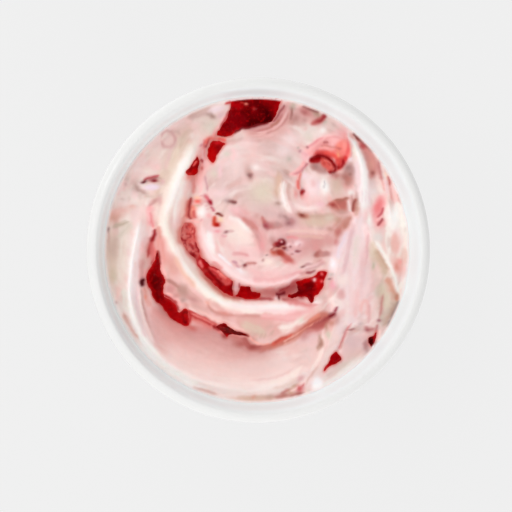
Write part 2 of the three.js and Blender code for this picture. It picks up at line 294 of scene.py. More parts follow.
# name: (height, width to the left of the path, width to its right, sharpness, start fade, end fade, path)
relief = {
    "main ridge": (3.6, 2.4, 3.4, 1.5, 0.1, 0.08, [-20, 39, -26, 28.5, -30.5, 18, -32.8, 9, -29.8, 1,
        -24.8, -8.2, -17, -16, -6, -19.6, 6, -20.2, 18, -19.8, 27, -17]),
    "inner groove": (-3, 3, 2.4, 2.2, 0.04, 0.08, [-8, 45, -15, 37.5, -21.5, 29, -23.6, 19, -24.8, 8,
        -22, -2, -15, -10, -7, -15, 3, -16, 13, -14.8, 21.5, -11.5]),
    "inner fold": (2, 4.5, 1.5, 1.5, 0.15, 0.2, [-20.5, 16, -19.5, 6.5, -16, -2, -9, -8.9, 0, -12.2,
        9, -11.2, 19, -7]),
    "outer groove": (-2.4, 2.2, 2.6, 2, 0.12, 0.25, [-36, 14, -37.6, 6, -36.4, -4, -36, -12, -32, -19.3,
        -26.5, -25, -18, -28]),
    "flap body": (1.6, 3, 4.2, 3, 0.1, 0.15, [-30, -10, -25, -16.5, -14, -22, -2, -26, 8, -25, 20, -20.5]),
    "flap edge": (1.6, 3, 1.1, 1.8, 0.12, 0.12, [-33.6, -6, -32.3, -11, -32.6, -16.2, -28.9, -18.5,
        -24, -20.8, -15, -25.4, -8, -27.8, -4.2, -28.8, -2.6, -30.9, 0.4, -32.6, 3.4, -32.6, 8, -30.6,
        18, -25.6, 27, -20.6]),
    "scoop": (-3.4, 8, 6, 2.8, 0.2, 0.25, [-39, -8, -36.5, -20, -28, -32, -14, -38.5, 0, -40.5, 12, -37.5,
        21, -29]),
    "left wall ridge": (2.4, 2.2, 2.2, 1.5, 0.12, 0.3, [-39.5, 16, -41.5, 8, -44, -4, -44.7, -16,
        -41.5, -28.5, -34, -38.5, -23, -45.3, -9, -49, 6, -49.6]),
    "second wall ridge": (0.6, 0.7, 0.9, 1.6, 0.2, 0.2, [-41.6, -11, -40.8, -18, -39.5, -23, -37.6, -28.6,
        -35, -34]),
    "bottom groove": (-1.2, 1.4, 1.2, 1.6, 0, 0.3, [5, -52, 13, -48.2, 19, -43.5]),
    "right ribbon": (2.2, 5.5, 1.3, 1.7, 0.08, 0.2, [27, 43.5, 33.8, 37.5, 36, 28, 35, 15.5, 32.3, 7, 28, -3,
        26, -14, 27, -24, 23.5, -35, 19.5, -45]),
    "right valley": (-2.4, 1.8, 2, 2, 0.2, 0.3, [33.5, 41, 38.3, 33.5, 40.8, 25.5, 40.5, 19]),
    "right wall ridge": (1.4, 1.6, 1.2, 1.6, 0.2, 0.3, [40.5, 35.5, 44.6, 25, 46.2, 13, 47, 6]),
    "right crest": (2.3, 5, 1.1, 1.6, 0.15, 0, [37, 10, 40.8, 1.2, 46.6, -9.2, 51.5, -20]),
    "right trough": (-1.8, 2.2, 4, 2, 0.2, 0.15, [39.5, -1, 43, -11.5, 46, -22, 46, -29]),
    "curl lip": (1.6, 1.6, 2.6, 1.6, 0.12, 0.15, [14.5, 34.5, 18.5, 38.2, 25, 40.5, 30.8, 38, 32, 33,
        29, 28.5, 25.5, 26.8]),
    "curl arc": (1.2, 1.5, 0.7, 1.5, 0.12, 0.12, [17.4, 32.4, 20.5, 34.3, 24.5, 34.2, 28.2, 31.5, 29, 28]),
    "curl slit": (-1.2, 0.8, 0.9, 2, 0.1, 0.1, [17.6, 31, 21, 32.6, 25, 31.3, 27.3, 28, 24.8, 26.6]),
    "curl drip": (0.9, 0.9, 0.8, 1.6, 0.15, 0.2, [17.3, 30.3, 14, 26, 13.8, 22.4, 16, 19]),
    "ledge": (1.6, 2.6, 0.8, 1.6, 0.25, 0.2, [24.5, 16.3, 29, 18, 33.4, 17.4]),
    "ledge end": (-1.1, 0.6, 0.6, 1.6, 0.2, 0.2, [34.3, 17.8, 33.6, 15, 33.2, 12.7]),
    "mound crescent": (1, 1.4, 3.4, 1.6, 0.15, 0.25, [-13.5, 12.8, -6, 10, -1.5, 4.5, 0.8, -2, 3.5, -4.6]),
    "middle fold": (1, 2.4, 1, 1.6, 0.2, 0.3, [8, 27.2, 8.3, 20, 13, 12]),
    "top fold": (1.2, 0.8, 2.4, 1.6, 0.15, 0, [-6, 40.7, 3, 42, 8.5, 46, 10, 50.5]),
    "top fold line": (0.6, 0.6, 1.4, 1.6, 0.3, 0, [4, 40.5, 10, 44.3, 12.3, 51]),
    "dent slit": (-1.1, 0.7, 0.7, 2, 0.2, 0.3, [-41.2, 23.2, -35, 24.6, -32.5, 23]),
    "dent shade": (-0.9, 1, 1.4, 2, 0.2, 0.3, [-43.3, 23.5, -41, 20.5, -36, 18.9]),
    "lower right line": (-0.7, 0.7, 0.7, 2, 0.2, 0.1, [31.6, -26, 29.6, -31.5, 27.6, -36.5]),
    "lower right dip": (-0.8, 0.8, 1, 2, 0.2, 0.2, [31, -28.3, 34.6, -28.1, 38, -28.6, 41.5, -28.8]),
}

# name: (centre x, y, radius along, radius across, turn in degrees, height, sharpness)
swells = {
    "plateau": (0, 29, 15, 11, 20, 1.2, 3),
    "mound": (-11, 1, 8, 9, 20, 1, 2.4),
    "middle dip": (10, 4, 10, 6, 0, -0.8, 2),
    "curl hood": (25.5, 35.5, 7, 6, 0, 1.6, 2.4),
    "curl tip": (24.8, 29.5, 2.5, 2, -25, 1.4, 2.4),
    "mound under the curl": (21.8, 22, 5, 4.6, 0, 2.4, 2),
    "hollow beside it": (30.5, 25, 3.2, 4, 0, -1.6, 2),
    "left dent": (-37, 22, 3.2, 1.6, 10, 1.2, 2.4),
    "left wall dip": (-49.5, 2, 4.2, 11, 0, -1, 2.4),
    "pit in the plateau": (-3, 26, 1.1, 1.5, 25, -0.7, 2),
    "slot in the plateau": (-9.2, 16.4, 1.9, 0.6, -10, -0.7, 2),
    "pit in the middle": (15.6, 12, 1.8, 0.9, -10, -0.6, 2),
    "pit beside it": (11.4, 9.6, 1.6, 1.4, 0, -0.6, 2),
    "pit by the mound": (3, 8.3, 1.3, 2, 60, -0.6, 2),
    "pit on the fold": (-4.6, -5.8, 1.1, 0.8, 20, -0.5, 2),
    "pit by the jam": (21, -1.6, 1.6, 1.5, 0, -0.6, 2),
    "pit at the fold": (9.6, 26.4, 2.2, 1, -30, -0.5, 2),
    "bead": (8, 2.2, 1.3, 1.3, 0, 1, 2.6),
    "cup under the bead": (7, -0.5, 2, 1.8, 0, -0.9, 2),
    "rise at the wall": (48, -24, 5, 16, -26, 1.6, 2),
}

pools = {
    "jam_top": [-9.8, 53.4, -5, 55, 3, 55, 7.8, 54, 7.1, 48.4, 5.2, 45.2, 3.6, 44.2, 0, 43.6, -3.6, 42.9,
        -7.4, 41.5, -9.6, 39.5, -12, 39.4, -14.4, 40.1, -12.8, 43, -10.2, 47.6, -9.5, 50],
    "jam_upper_left_1": [-16.4, 37.2, -14.4, 38.1, -12.4, 37.6, -11.2, 37, -11.8, 36, -13.2, 34.6, -14.3, 33,
        -14.9, 31.2, -16, 30, -17, 31.2, -17.5, 33.4, -17.2, 35.6],
    "jam_upper_left_2": [-21, 32.5, -22.2, 31.1, -23.4, 29.4, -25, 27.4, -25.3, 26.3, -24, 25.7, -22.2, 25.7,
        -20.9, 26.6, -20.5, 28.6, -20, 30.6, -20.3, 31.6],
    "jam_inner_left": [-25.2, 9.3, -26.3, 7.8, -27, 5.4, -26.7, 3.2, -25.6, 0.4, -23.8, -1.8, -21.6, -3.9,
        -20.8, -5.8, -18.2, -9.2, -14.6, -13.2, -12.2, -15, -9, -16.4, -8.8, -13.4, -8.7, -10.9, -10, -10.5,
        -13, -8, -14.5, -6.4, -16.6, -5.5, -18.2, -3.9, -19.8, -2.7, -20.5, 0, -21.3, 2, -21.9, 6.6,
        -22.8, 9],
    "jam_inner_centre": [-6.3, -12.9, -4.6, -13, -3.2, -12.7, -2.7, -13.6, -2.1, -14.8, -0.6, -15,
        0.8, -15.4, 1.3, -16.6, 0.4, -17.5, -2, -17.7, -5, -17.4, -8.5, -16.4, -7.3, -15.4, -6.6, -14.4],
    "jam_inner_right": [13, -11.6, 15.4, -10.4, 19, -9.6, 21.6, -7.8, 24, -7.9, 23.2, -11, 22.2, -14.4,
        20, -16.4, 18.3, -19, 16.8, -17, 14.6, -17.1, 10.6, -17.1, 10.8, -15.9, 13.6, -15.5, 14, -13.6],
    "jam_outer_left": [-35.2, -0.6, -35.9, -3.6, -37.4, -6, -39, -8.8, -38.6, -12.4, -37.2, -14.6,
        -36.4, -17.4, -33.4, -20, -31, -23.4, -28, -25.9, -25, -27.2, -23.5, -26.2, -24.1, -23.8,
        -24.5, -21.2, -26, -20.5, -27.6, -21.9, -28.5, -19, -30.4, -17.4, -32.6, -16.4, -33, -13.6,
        -32.4, -10.6, -33.6, -8, -34.1, -5],
    "jam_outer_bottom": [-15, -26.8, -11.9, -25.7, -8.4, -28.3, -5.6, -28.7, -3.2, -30.3, -6, -30.1,
        -9.7, -30, -10.9, -31.1, -11.9, -30.2, -13.2, -28.6],
    "jam_lower_right": [27.2, -35.9, 28.2, -37, 29.4, -38.8, 28.4, -39.8, 26.4, -40.9, 25, -41.2,
        23.3, -42.8, 22.8, -41.9, 24.4, -39.9, 25.3, -37.8],
    "jam_right_edge": [39.2, -30.9, 40.6, -30.7, 41.4, -29, 41.9, -29.2, 41.6, -31.6, 41, -33.8, 40.4, -35.2,
        39.4, -34.3, 38.7, -33, 38.7, -31.8],
}


def ease(t):
    t = np.clip(t, 0, 1)
    return t * t * (3 - 2 * t)


def smooth_line(points, step=0.7, closed=False):
    """A smooth curve through a few points, given as x, y, x, y, as short straight stretches."""
    p = np.reshape(points, (-1, 2)).astype(float)
    if closed:
        ends = np.vstack([p[-1:], p, p[:2]])
    else:
        ends = np.vstack([2 * p[0] - p[1], p, 2 * p[-1] - p[-2]])
    line = []
    for a, b, c, d in zip(ends, ends[1:], ends[2:], ends[3:]):
        count = max(2, int(np.hypot(*(c - b)) / step))
        t = (np.arange(count) / count)[:, None]
        bend, twist = 2 * a - 5 * b + 4 * c - d, 3 * b - a - 3 * c + d
        line.append(b + 0.5 * ((c - a) * t + bend * t**2 + twist * t**3))
    return np.vstack(line + [p[:1] if closed else p[-1:]])


def nearest(line, x, y, reach):
    """For the places within reach of a line: which they are, how far off they lie (to the left of the
    line is positive) and how far along it, in mm. The line's whole length comes last."""
    low = line.min(0) - reach
    high = line.max(0) + reach
    near = np.flatnonzero((x > low[0]) & (x < high[0]) & (y > low[1]) & (y < high[1]))
    px, py = x[near], y[near]
    best = np.full(len(near), 1e9)
    side = np.ones(len(near))
    along = np.zeros(len(near))
    passed = 0.0
    for (ax, ay), (bx, by) in zip(line, line[1:]):
        length = math.hypot(bx - ax, by - ay)
        ux, uy = (bx - ax) / length, (by - ay) / length
        wx, wy = px - ax, py - ay
        t = np.clip(wx * ux + wy * uy, 0, length)
        distance = np.hypot(wx - t * ux, wy - t * uy)
        closer = distance < best
        best[closer] = distance[closer]
        side[closer] = np.where(ux * wy - uy * wx >= 0, 1.0, -1.0)[closer]
        along[closer] = (passed + t)[closer]
        passed += length
    return near, best * side, along, passed


def stroke(x, y, left, right, sharpness, start, end, points):
    """How strongly one pull of the spoon is felt at each place, 0 to 1."""
    reach = max(left, right) * 7 ** (1 / sharpness)
    near, off, along, length = nearest(smooth_line(points), x, y, reach)
    profile = np.exp(-(np.where(off > 0, off / left, -off / right) ** sharpness)) - math.exp(-7)
    profile = np.clip(profile, 0, 1)
    if start:
        profile *= ease(along / length / start)
    if end:
        profile *= ease((1 - along / length) / end)
    return near, profile, off, along


def swell(x, y, centre_x, centre_y, along, across, turn, sharpness):
    angle = math.radians(turn)
    u = (x - centre_x) * math.cos(angle) + (y - centre_y) * math.sin(angle)
    v = (y - centre_y) * math.cos(angle) - (x - centre_x) * math.sin(angle)
    return np.exp(-(np.hypot(u / along, v / across) ** sharpness))


def inside(x, y, outline, reach):
    """How far inside a closed outline each place lies, in mm, negative outside it."""
    line = smooth_line(outline, 0.5, closed=True)
    depth = np.full(len(x), -reach, float)
    near, off, _, _ = nearest(line, x, y, reach)
    px, py = x[near], y[near]
    within = np.zeros(len(near), bool)
    for (ax, ay), (bx, by) in zip(line, line[1:]):
        if ay != by:
            within ^= ((ay > py) != (by > py)) & (px < ax + (bx - ax) * (py - ay) / (by - ay))
    depth[near] = np.clip(np.where(within, 1, -1) * np.abs(off), -reach, None)
    return depth


def noise(x, y, size, seed):
    """A smooth random field from -1 to 1, with blotches of that size in mm."""
    table = np.random.default_rng(seed).uniform(-1, 1, (127, 127))
    u, v = x / size, y / size
    i, j = np.floor(u).astype(int), np.floor(v).astype(int)
    s, t = ease(u - i), ease(v - j)
    a, b = table[i % 127, j % 127], table[(i + 1) % 127, j % 127]
    c, d = table[i % 127, (j + 1) % 127], table[(i + 1) % 127, (j + 1) % 127]
    return (a + (b - a) * s) * (1 - t) + (c + (d - c) * s) * t


def drawn(x, y):
    """Where places of the surface are seen from above through the rim's plane, as the paths are written."""
    return 0.994 * x - 0.1, y - 0.3


def ragged(x, y, size=1.0):
    """The same, moved about a little, so that what is drawn gets torn, wavering edges."""
    aside = 0.16 * noise(x, y, 2.7, 11) + 0.18 * noise(x, y, 1.1, 12)
    up = 0.16 * noise(x, y, 2.7, 13) + 0.18 * noise(x, y, 1.1, 14)
    seen_x, seen_y = drawn(x, y)
    return seen_x + size * aside, seen_y + size * up


def surface(x, y):
    """The ice cream's height in mm at each place of the plan."""
    raw = np.zeros(len(x))
    seen_x, seen_y = drawn(x, y)
    for height, left, right, sharpness, start, end, points in relief.values():
        near, profile, _, _ = stroke(seen_x, seen_y, left, right, sharpness, start, end, points)
        raw[near] += height * profile
    for centre_x, centre_y, along, across, turn, height, sharpness in swells.values():
        raw += height * swell(seen_x, seen_y, centre_x, centre_y, along, across, turn, sharpness)
    away = np.hypot(x, y)
    raw *= wall_share + (1 - wall_share) * ease((fill_radius - away) / wall_fade)
    raw += edge_creep * ease(1 - (fill_radius - away) / 2)
    pressed = np.where(raw > crest_limit, crest_limit + (raw - crest_limit) * crest_squash, raw)
    fine = 0.12 * noise(x, y, 4.5, 1) + 0.06 * noise(x, y, 1.8, 2) + 0.03 * noise(x, y, 0.8, 3)
    return fill_height + crown_height * (1 - (away / fill_radius) ** 2) + pressed + fine


class Canvas:
    """Colours laid over each other at places of the plan, as they are seen, 0 to 255. Paths and
    outlines are x, y, x, y in mm."""

    def __init__(self, x, y, colour):
        self.x, self.y = ragged(x, y)
        self.away = np.hypot(x, y)
        self.tint = np.tile(np.array(colour, float), (len(x), 1))
        self.seed = 100

    def lay(self, colour, near, cover):
        self.tint[near] += (np.array(colour, float) - self.tint[near]) * cover[:, None]

    def pull(self, colour, strength, width, path, fade=0.1, sharpness=2, streak=0.35):
        """A streak of colour along a path. Its width is one number, or one to the left and one to the
        right, and so is the share that it fades over at its ends. The higher streak is, the more it
        breaks up into finer lines."""
        left, right = np.broadcast_to(width, 2)
        self.seed += 1
        reach = max(left, right) * 5 ** (1 / sharpness)
        near, off, along, length = nearest(smooth_line(path), self.x, self.y, reach)
        shortest = 1.6 * max(left, right)
        tips = [min(max(share * length, shortest), length / 2) for share in np.broadcast_to(fade, 2)]
        taper = ease(np.minimum(along / tips[0], (length - along) / tips[1]))
        extent = np.where(off > 0, left, right) * (0.3 + 0.7 * taper)
        cover = np.exp(-((np.abs(off) / extent) ** sharpness)) * np.sqrt(taper)
        grain = noise(along, off * 12, 5.5, self.seed)
        cover = cover * (1 - streak + streak * np.clip(0.9 + 1.2 * grain, 0, 1.6)) * strength
        self.lay(colour, near, np.clip(cover, 0, 1))

    def dab(self, colour, strength, centre_x, centre_y, along, across, turn=0, sharpness=2):
        cover = strength * swell(self.x, self.y, centre_x, centre_y, along, across, turn, sharpness)
        near = np.flatnonzero(cover > 0.004)
        self.lay(colour, near, cover[near])

    def dabs(self, *marks):
        """Many dabs, each one row: red, green, blue and then what dab takes."""
        for mark in marks:
            self.dab(mark[:3], *mark[3:])

    def fill(self, colour, strength, soft, outline):
        depth = inside(self.x, self.y, outline, soft)
        near = np.flatnonzero(depth > -soft)
        self.lay(colour, near, strength * ease(0.5 + 0.5 * depth[near] / soft))

    def pulp(self, colour, strength, soft, size, outline):
        """The threads between the cells of crushed fruit, inside an outline."""
        depth = inside(self.x, self.y, outline, soft)
        near = np.flatnonzero(depth > -soft)
        x, y = self.x[near], self.y[near]
        cells = np.abs(noise(x, y, size, 41)) + 0.5 * np.abs(noise(x, y, size / 2, 42))
        threads = ease(1 - cells / 0.38)
        self.lay(colour, near, strength * threads * ease(0.5 + 0.5 * depth[near] / soft))

    def flecks(self, colour, strength, length, width, seed):
        """Faint flecks of a colour, drawn out along the turn of the swirl."""
        right, up = self.x + 2, self.y - 6
        field = np.zeros(len(right))
        for share in np.linspace(-0.5, 0.5, 9):
            turn = share * length / np.maximum(np.hypot(right, up), 8)
            moved_right = right * np.cos(turn) - up * np.sin(turn)
            moved_up = right * np.sin(turn) + up * np.cos(turn)
            field += noise(moved_right, moved_up, width, seed) / 9
        cover = strength * ease(3.2 * field - 0.1)
        near = np.flatnonzero(cover > 0.004)
        self.lay(colour, near, cover[near])

    def painted_edge_highlight(self, start=52.8):
        """A painted highlight: the thin pale line where the edge meets the bowl."""
        self.lay((255, 246, 243), np.arange(len(self.away)), 0.95 * ease((self.away - start) / 0.4))

    def soften(self, piece):
        """Let each colour run a little into those next to it, as in a melting surface."""
        ends = np.empty(len(piece.data.edges) * 2, np.int32)
        piece.data.edges.foreach_get("vertices", ends)
        a, b = ends[::2], ends[1::2]
        count = np.bincount(ends, minlength=len(self.tint))
        for tone in self.tint.T:
            sums = np.bincount(a, tone[b], len(tone)) + np.bincount(b, tone[a], len(tone))
            tone += (sums / np.maximum(count, 1) - tone) / 2

    def store(self, piece):
        """Write the colours to the piece, the pale ones a little pinker, as fruit tints the cream."""
        self.soften(piece)
        self.tint -= ease((self.tint[:, 1:2] - 140) / 60) * (0, 5, 4)
        values = np.ones((len(self.tint), 4), np.float32)
        values[:, :3] = linear(np.clip(self.tint, 0, 255))
        layer = piece.data.color_attributes.new("tint", "FLOAT_COLOR", "POINT")
        layer.data.foreach_set("color", values.ravel())




def paint(canvas):
    """The ice cream's colours, from the broad ones to the last marks."""
    pull, dab, dabs, fill = canvas.pull, canvas.dab, canvas.dabs, canvas.fill

    # The quiet ground of each part of the swirl.
    fill((243, 225, 217), 0.9, 5, [-56, 20, -50, 35, -38, 45, -25, 50, -14, 52, -14, 44, -22, 36, -28, 27,
        -32, 18, -35, 12, -37, 6, -40, 0, -42, -10, -43, -20, -44, -30, -50, -30, -56, -10])
    fill((228, 200, 195), 1, 4, [-12, 36, -4, 40, 6, 41, 12, 43, 18, 40, 15, 34, 14, 28, 17, 22, 14, 14,
        6, 11, -2, 13, -10, 17, -16, 20, -19, 26, -16, 31])
    fill((222, 186, 180), 0.9, 4, [12, 14, 20, 15, 30, 13, 31, 8, 26, 2, 18, -2, 10, 0, 8, 8])
    fill((248, 218, 213), 1, 2, [-18, 8, -13, 12, -6, 10, -1, 4, 2, -3, 8, -7, 17, -7, 12, -10, 5, -12,
        -1, -12, -8, -9, -13, -5, -17, -1])
    fill((243, 205, 198), 1, 3, [-36, -16, -30, -24, -22, -29, -12, -32, -4, -35, 4, -35, 12, -32, 20, -28,
        24, -30, 22, -38, 18, -44, 8, -48, -5, -49, -16, -48, -25, -45, -32, -40, -37, -33, -39, -26,
        -39, -18])
    fill((245, 223, 222), 0.95, 2, [30, 42, 34, 38, 37, 33, 38.7, 27, 39.5, 18, 40, 8, 40.5, 0, 41, -10,
        41, -20, 38, -28, 33, -28, 29, -34, 25, -40, 21, -46, 17, -46, 22, -38, 26, -28, 27.5, -20, 27, -10,
        27.5, -3, 29, 3, 31, 8, 33.5, 13, 34, 20, 34, 28, 32, 34])
    fill((250, 240, 231), 0.95, 2, [42, 20, 46, 25, 50, 21, 55, 10, 56, 0, 55, -10, 52, -17, 48.5, -14,
        46, -7, 43, -1, 40, 4, 41, 10])
    fill((219, 209, 194), 0.95, 1.6, [40, 2, 42, 0, 44, -4, 46, -8, 48, -14, 50.5, -18, 48, -25, 44, -28,
        42, -22, 41.2, -14, 40.5, -6])
    fill((230, 203, 198), 0.95, 2.5, [30, -29, 35, -28, 40, -28, 46, -27, 44, -36, 36, -44, 28, -47, 22, -47,
        26, -40, 29, -35])
    fill((230, 176, 168), 0.9, 2, [-31, -8, -26, -12, -19, -16, -12, -20, 0, -22, 10, -22, 20, -21, 26, -19,
        18, -26, 8, -30, 1, -32, -8, -28, -15, -25, -24, -20, -30, -17, -32, -12])

    canvas.flecks((255, 246, 240), 0.5, 9, 1.7, 51)
    canvas.flecks((236, 178, 172), 0.4, 9, 1.9, 52)
    canvas.flecks((206, 168, 158), 0.35, 7, 1.4, 53)
    canvas.flecks((250, 214, 212), 0.5, 4, 3.4, 54)

    # The scoop's smooth hollow: dusky with painted shade under the flap, paler towards the wall with painted
    # light.
    pull((208, 144, 140), 0.95, (1, 6.5), [-36, -15, -31, -22, -24, -27, -15, -28, -8, -31, 1, -35,
        9, -33], (0.15, 0.3), streak=0.1)
    pull((232, 184, 177), 0.5, (3, 4), [-37, -22, -30, -31, -17, -36, -3, -38.5, 8, -37], streak=0.1)
    pull((252, 220, 213), 0.8, 4, [-34, -32, -27, -38, -15, -42, 0, -43, 12, -40.5], streak=0.1)
    pull((255, 240, 234), 0.9, 5, [-38, -35, -31, -42, -22, -46, -10, -48.5, 4, -48.5, 13, -45.5,
        19, -40], streak=0.2)
    pull((236, 214, 208), 0.7, (4, 3), [14, -34, 18, -38, 18, -42], 0.2)
    dabs((248, 224, 218, 0.8, 8, -41, 8, 4, 10), (247, 216, 210, 0.7, -1, -41.5, 5, 3))

    # The ice cream takes on the jam's colour round each pool.
    for outline in pools.values():
        fill((238, 166, 158), 0.6, 1.6, outline)
        fill((220, 90, 86), 0.85, 0.8, outline)

    # The main ridge: cream white along its crest, shaded where it falls to the groove inside it.
    pull((222, 180, 162), 0.7, 1, [-28, 10, -28, 5, -26.6, -0.6, -23, -5.5, -18.6, -10.5, -14, -14.9,
        -9, -17.6, -3, -18.8, 4, -18.5], (0.2, 0.1), streak=0.2)
    pull((222, 198, 178), 0.8, (2.6, 3), [-23, 44, -27, 36, -31, 28, -34, 20, -35.5, 13], 0.2)
    pull((252, 244, 232), 1, (2.4, 2.2), [-20, 41, -22.5, 36, -25.3, 31, -27.8, 27, -29.8, 21, -31.3, 17,
        -33.2, 10, -32.2, 6, -30.3, 2, -27.6, -2.6, -24.8, -6.7, -22, -10.6, -18.5, -14.2, -14, -17.7,
        -10, -19.6, -5, -20.4, 0, -20.2, 6, -19.8, 12, -19.8, 18, -20.2], 0.1, 2.6, 0.15)
    pull((255, 250, 246), 0.9, 1.4, [-24, 34, -26.8, 28, -29.3, 21, -31.5, 15, -32.9, 10], (0.2, 0.3))
    pull((255, 250, 246), 0.6, 0.9, [-32, 5, -29.5, 0, -26, -5.5, -21.5, -11.2, -16, -16.3, -10, -19.2,
        0, -19.6], (0.2, 0.3))
    pull((253, 234, 231), 1, (2.4, 1.4), [-14, -18.4, -8, -19.8, 0, -20.4, 8, -20.4, 16, -20.4,
        23, -18], (0.2, 0.1))
    pull((255, 246, 244), 0.9, 0.7, [-8, -19.4, 0, -19.6, 8, -19.8, 15, -19.6], 0.2)
    pull((250, 222, 222), 0.8, (0.4, 0.5), [-2, -21.2, 6, -21.4, 14, -21.2])
    pull((206, 130, 116), 0.9, (1.2, 0.7), [-20, -8.6, -16.4, -12.4, -12.6, -15.4, -9, -16.9,
        -4, -18.2], 0.2)

    # The groove inside the ridge, stained where the jam was dragged along it.
    pull((250, 222, 216), 0.9, 1.4, [-15, 42, -19.4, 37, -23, 29, -25, 22, -26, 16], (0.1, 0.2))
    # Painted light: near-white along the ridge's inner slope, offsetting the shade that falls on it.
    pull((255, 250, 244), 1, (1.5, 1.3), [-21.6, 36, -24.2, 31, -26, 25, -27.2, 19, -28.8, 13,
        -29.2, 8], (0.15, 0.25))
    pull((244, 176, 170), 0.95, (1.6, 1.4), [-12, 40, -16.4, 38.6, -18.6, 35, -19.4, 31, -20.4, 27, -21, 22])
    pull((246, 106, 98), 1, 0.8, [-18.4, 36.6, -17.6, 38.2, -15.6, 39, -12.6, 38.8, -10.8, 37.8])
    pull((240, 74, 70), 0.9, (0.3, 0.35), [-13.8, 38.5, -12.2, 38.5, -10.9, 38])
    pull((255, 204, 186), 0.95, (0.3, 0.4), [-16, 39.4, -14, 39.5, -12, 39.1, -10.6, 38.4])
    pull((206, 72, 72), 0.9, 0.35, [-16.8, 39, -17.2, 37.6, -18, 36.2])
    dabs((150, 26, 40, 0.9, -18.2, 36, 0.55, 0.35, -30), (210, 130, 140, 0.9, -19.8, 36.4, 0.7, 0.4, 30))
    pull((250, 204, 202), 0.9, 0.8, [-19.2, 35.6, -19, 33, -18.4, 30.6, -17.4, 28.6], 0.2)
    pull((240, 160, 158), 0.9, (0.3, 0.35), [-18.4, 35.4, -18.4, 33, -17.8, 31])
    pull((172, 30, 38), 0.9, (0.35, 0.4), [-20, 31.2, -19.2, 31, -19, 30.2])
    dab((205, 90, 88), 0.9, -19.5, 28.3, 0.5, 0.6)
    pull((226, 108, 108), 0.7, 0.4, [-19.2, 38.6, -18.6, 37.6, -19, 36.4, -18.4, 35.4])
    dab((240, 150, 140), 0.9, -23.4, 25.2, 2, 1, 10)
    pull((222, 140, 134), 0.9, (0.7, 0.8), [-22.6, 25.4, -22.3, 22, -22.4, 19])
    pull((250, 206, 204), 0.9, (0.9, 0.6), [-20.4, 27, -20.2, 22, -20.4, 19])
    pull((210, 160, 164), 0.8, (0.4, 0.5), [-18.6, 26, -18, 22.6, -17.8, 20])
    pull((238, 176, 164), 0.95, (1.4, 1.6), [-24.4, 19, -25.4, 14, -25.4, 10, -26.8, 5, -26.2, 0,
        -23.4, -4], (0.15, 0.1))
    pull((222, 108, 98), 0.95, 0.8, [-23.4, 18, -24.2, 14, -24.4, 10.4], (0.15, 0.1))
    pull((240, 140, 124), 1, 1, [-22.4, 16, -22.7, 13, -22.4, 10.6])
    pull((255, 196, 176), 0.9, 0.3, [-22.9, 14.6, -22.9, 12.4, -22.5, 11.2])
    dabs((238, 108, 100, 1, -21, 16.7, 1.3, 1.1, 10), (250, 206, 172, 0.9, -21.2, 18.2, 1, 0.6),
        (206, 168, 140, 0.8, -21.2, 15.1, 0.7, 0.3))
    # More painted light on the ridge's inner slope.
    pull((252, 226, 214), 0.9, (0.9, 0.5), [-26, 18.6, -26.6, 14.6, -26.6, 10.6])
    pull((150, 22, 24), 1, 0.35, [-23, 18.6, -23.3, 16.6, -23.7, 14, -23.8, 12, -23.4, 10.9,
        -22.6, 10.6], (0.12, 0.08), streak=0.1)
    pull((206, 96, 92), 0.9, (0.35, 0.4), [-22.3, 14, -22, 12, -21.6, 10.6])
    for crumb_x, crumb_y in [
            (-19.6, 15.9), (-18.4, 16.6), (-18.2, 15.1), (-17.6, 13.9), (-19.8, 18.7), (-20, 10.2)]:
        dab((222, 150, 156), 0.8, crumb_x, crumb_y, 0.5, 0.35, 40 * crumb_y)
    pull((206, 96, 90), 1, (2.8, 2.4), [-23.8, 8.4, -23.8, 4, -22.8, -1, -19.6, -6], (0.06, 0.2), 3, 0.3)
    pull((190, 60, 56), 0.95, 2, [-19.8, -5, -13.4, -12, -7, -15], 0.05, streak=0.4)
    pull((255, 196, 190), 1, (0.35, 0.4), [-25, 9.4, -23.6, 10, -22, 9.9, -20.6, 9.4], 0.05)
    pull((176, 124, 114), 0.8, 0.4, [-26.6, 0.4, -26, -1, -25.2, -2.2])
    pull((150, 4, 12), 1, (0.4, 0.45), [-11, -15.3, -8.4, -16.4, -5, -17.1, -1, -17.4, 1.4, -17.1])
    pull((253, 226, 222), 0.9, 0.6, [-7, -18, -3, -18.7, 0, -18.8, 4, -18.5])
    dabs((236, 128, 112, 0.95, 0.9, -15.8, 0.9, 0.9), (222, 144, 140, 1, 3.6, -15.2, 3.4, 2, 0, 3),
        (198, 90, 90, 1, 9.8, -14.8, 4.4, 2, 14, 2.6), (200, 96, 94, 0.9, 12.2, -13, 2, 2, 30))
    pull((232, 168, 160), 0.9, (0.8, 0.5), [2, -13, 7, -12.4, 11.4, -10.8, 15, -9.2, 19, -8.4])
    pull((164, 44, 50), 0.8, (0.4, 0.5), [0, -17.4, 3, -17.4, 6, -17.5], (0.1, 0.3))
    pull((190, 88, 88), 0.8, (0.5, 0.6), [7.6, -17.4, 11, -17.7, 14.6, -18.3], 0.2)
    pull((112, 2, 16), 1, (0.45, 0.5), [6, -15.5, 7.4, -15.9, 8.8, -15.5, 10, -14.8], 0.15)
    pull((166, 44, 52), 0.9, (0.3, 0.35), [7, -14.6, 9.4, -13.8, 11.6, -12.6])
    dabs((236, 150, 146, 0.7, 4, -14, 1.2, 0.5), (255, 244, 244, 1, 6.3, -17, 0.7, 0.55),
        (100, 5, 10, 0.95, 7.3, -17.1, 0.35, 0.6))
    pull((255, 214, 214), 1, (1.2, 1), [-7.7, -10.6, -7.5, -13, -7.9, -15.6], (0.05, 0.1), 3)
    pull((150, 30, 44), 0.9, 0.3, [-6.6, -11.6, -6.4, -12.6, -6.8, -13.8])
    # A painted highlight at the upper edge of the centre pool.
    pull((255, 160, 156), 1, 0.6, [-2.3, -12.8, -1.6, -14, -0.3, -14.4])
    dab((240, 196, 190), 0.8, 16.2, -17.4, 0.6, 0.9)

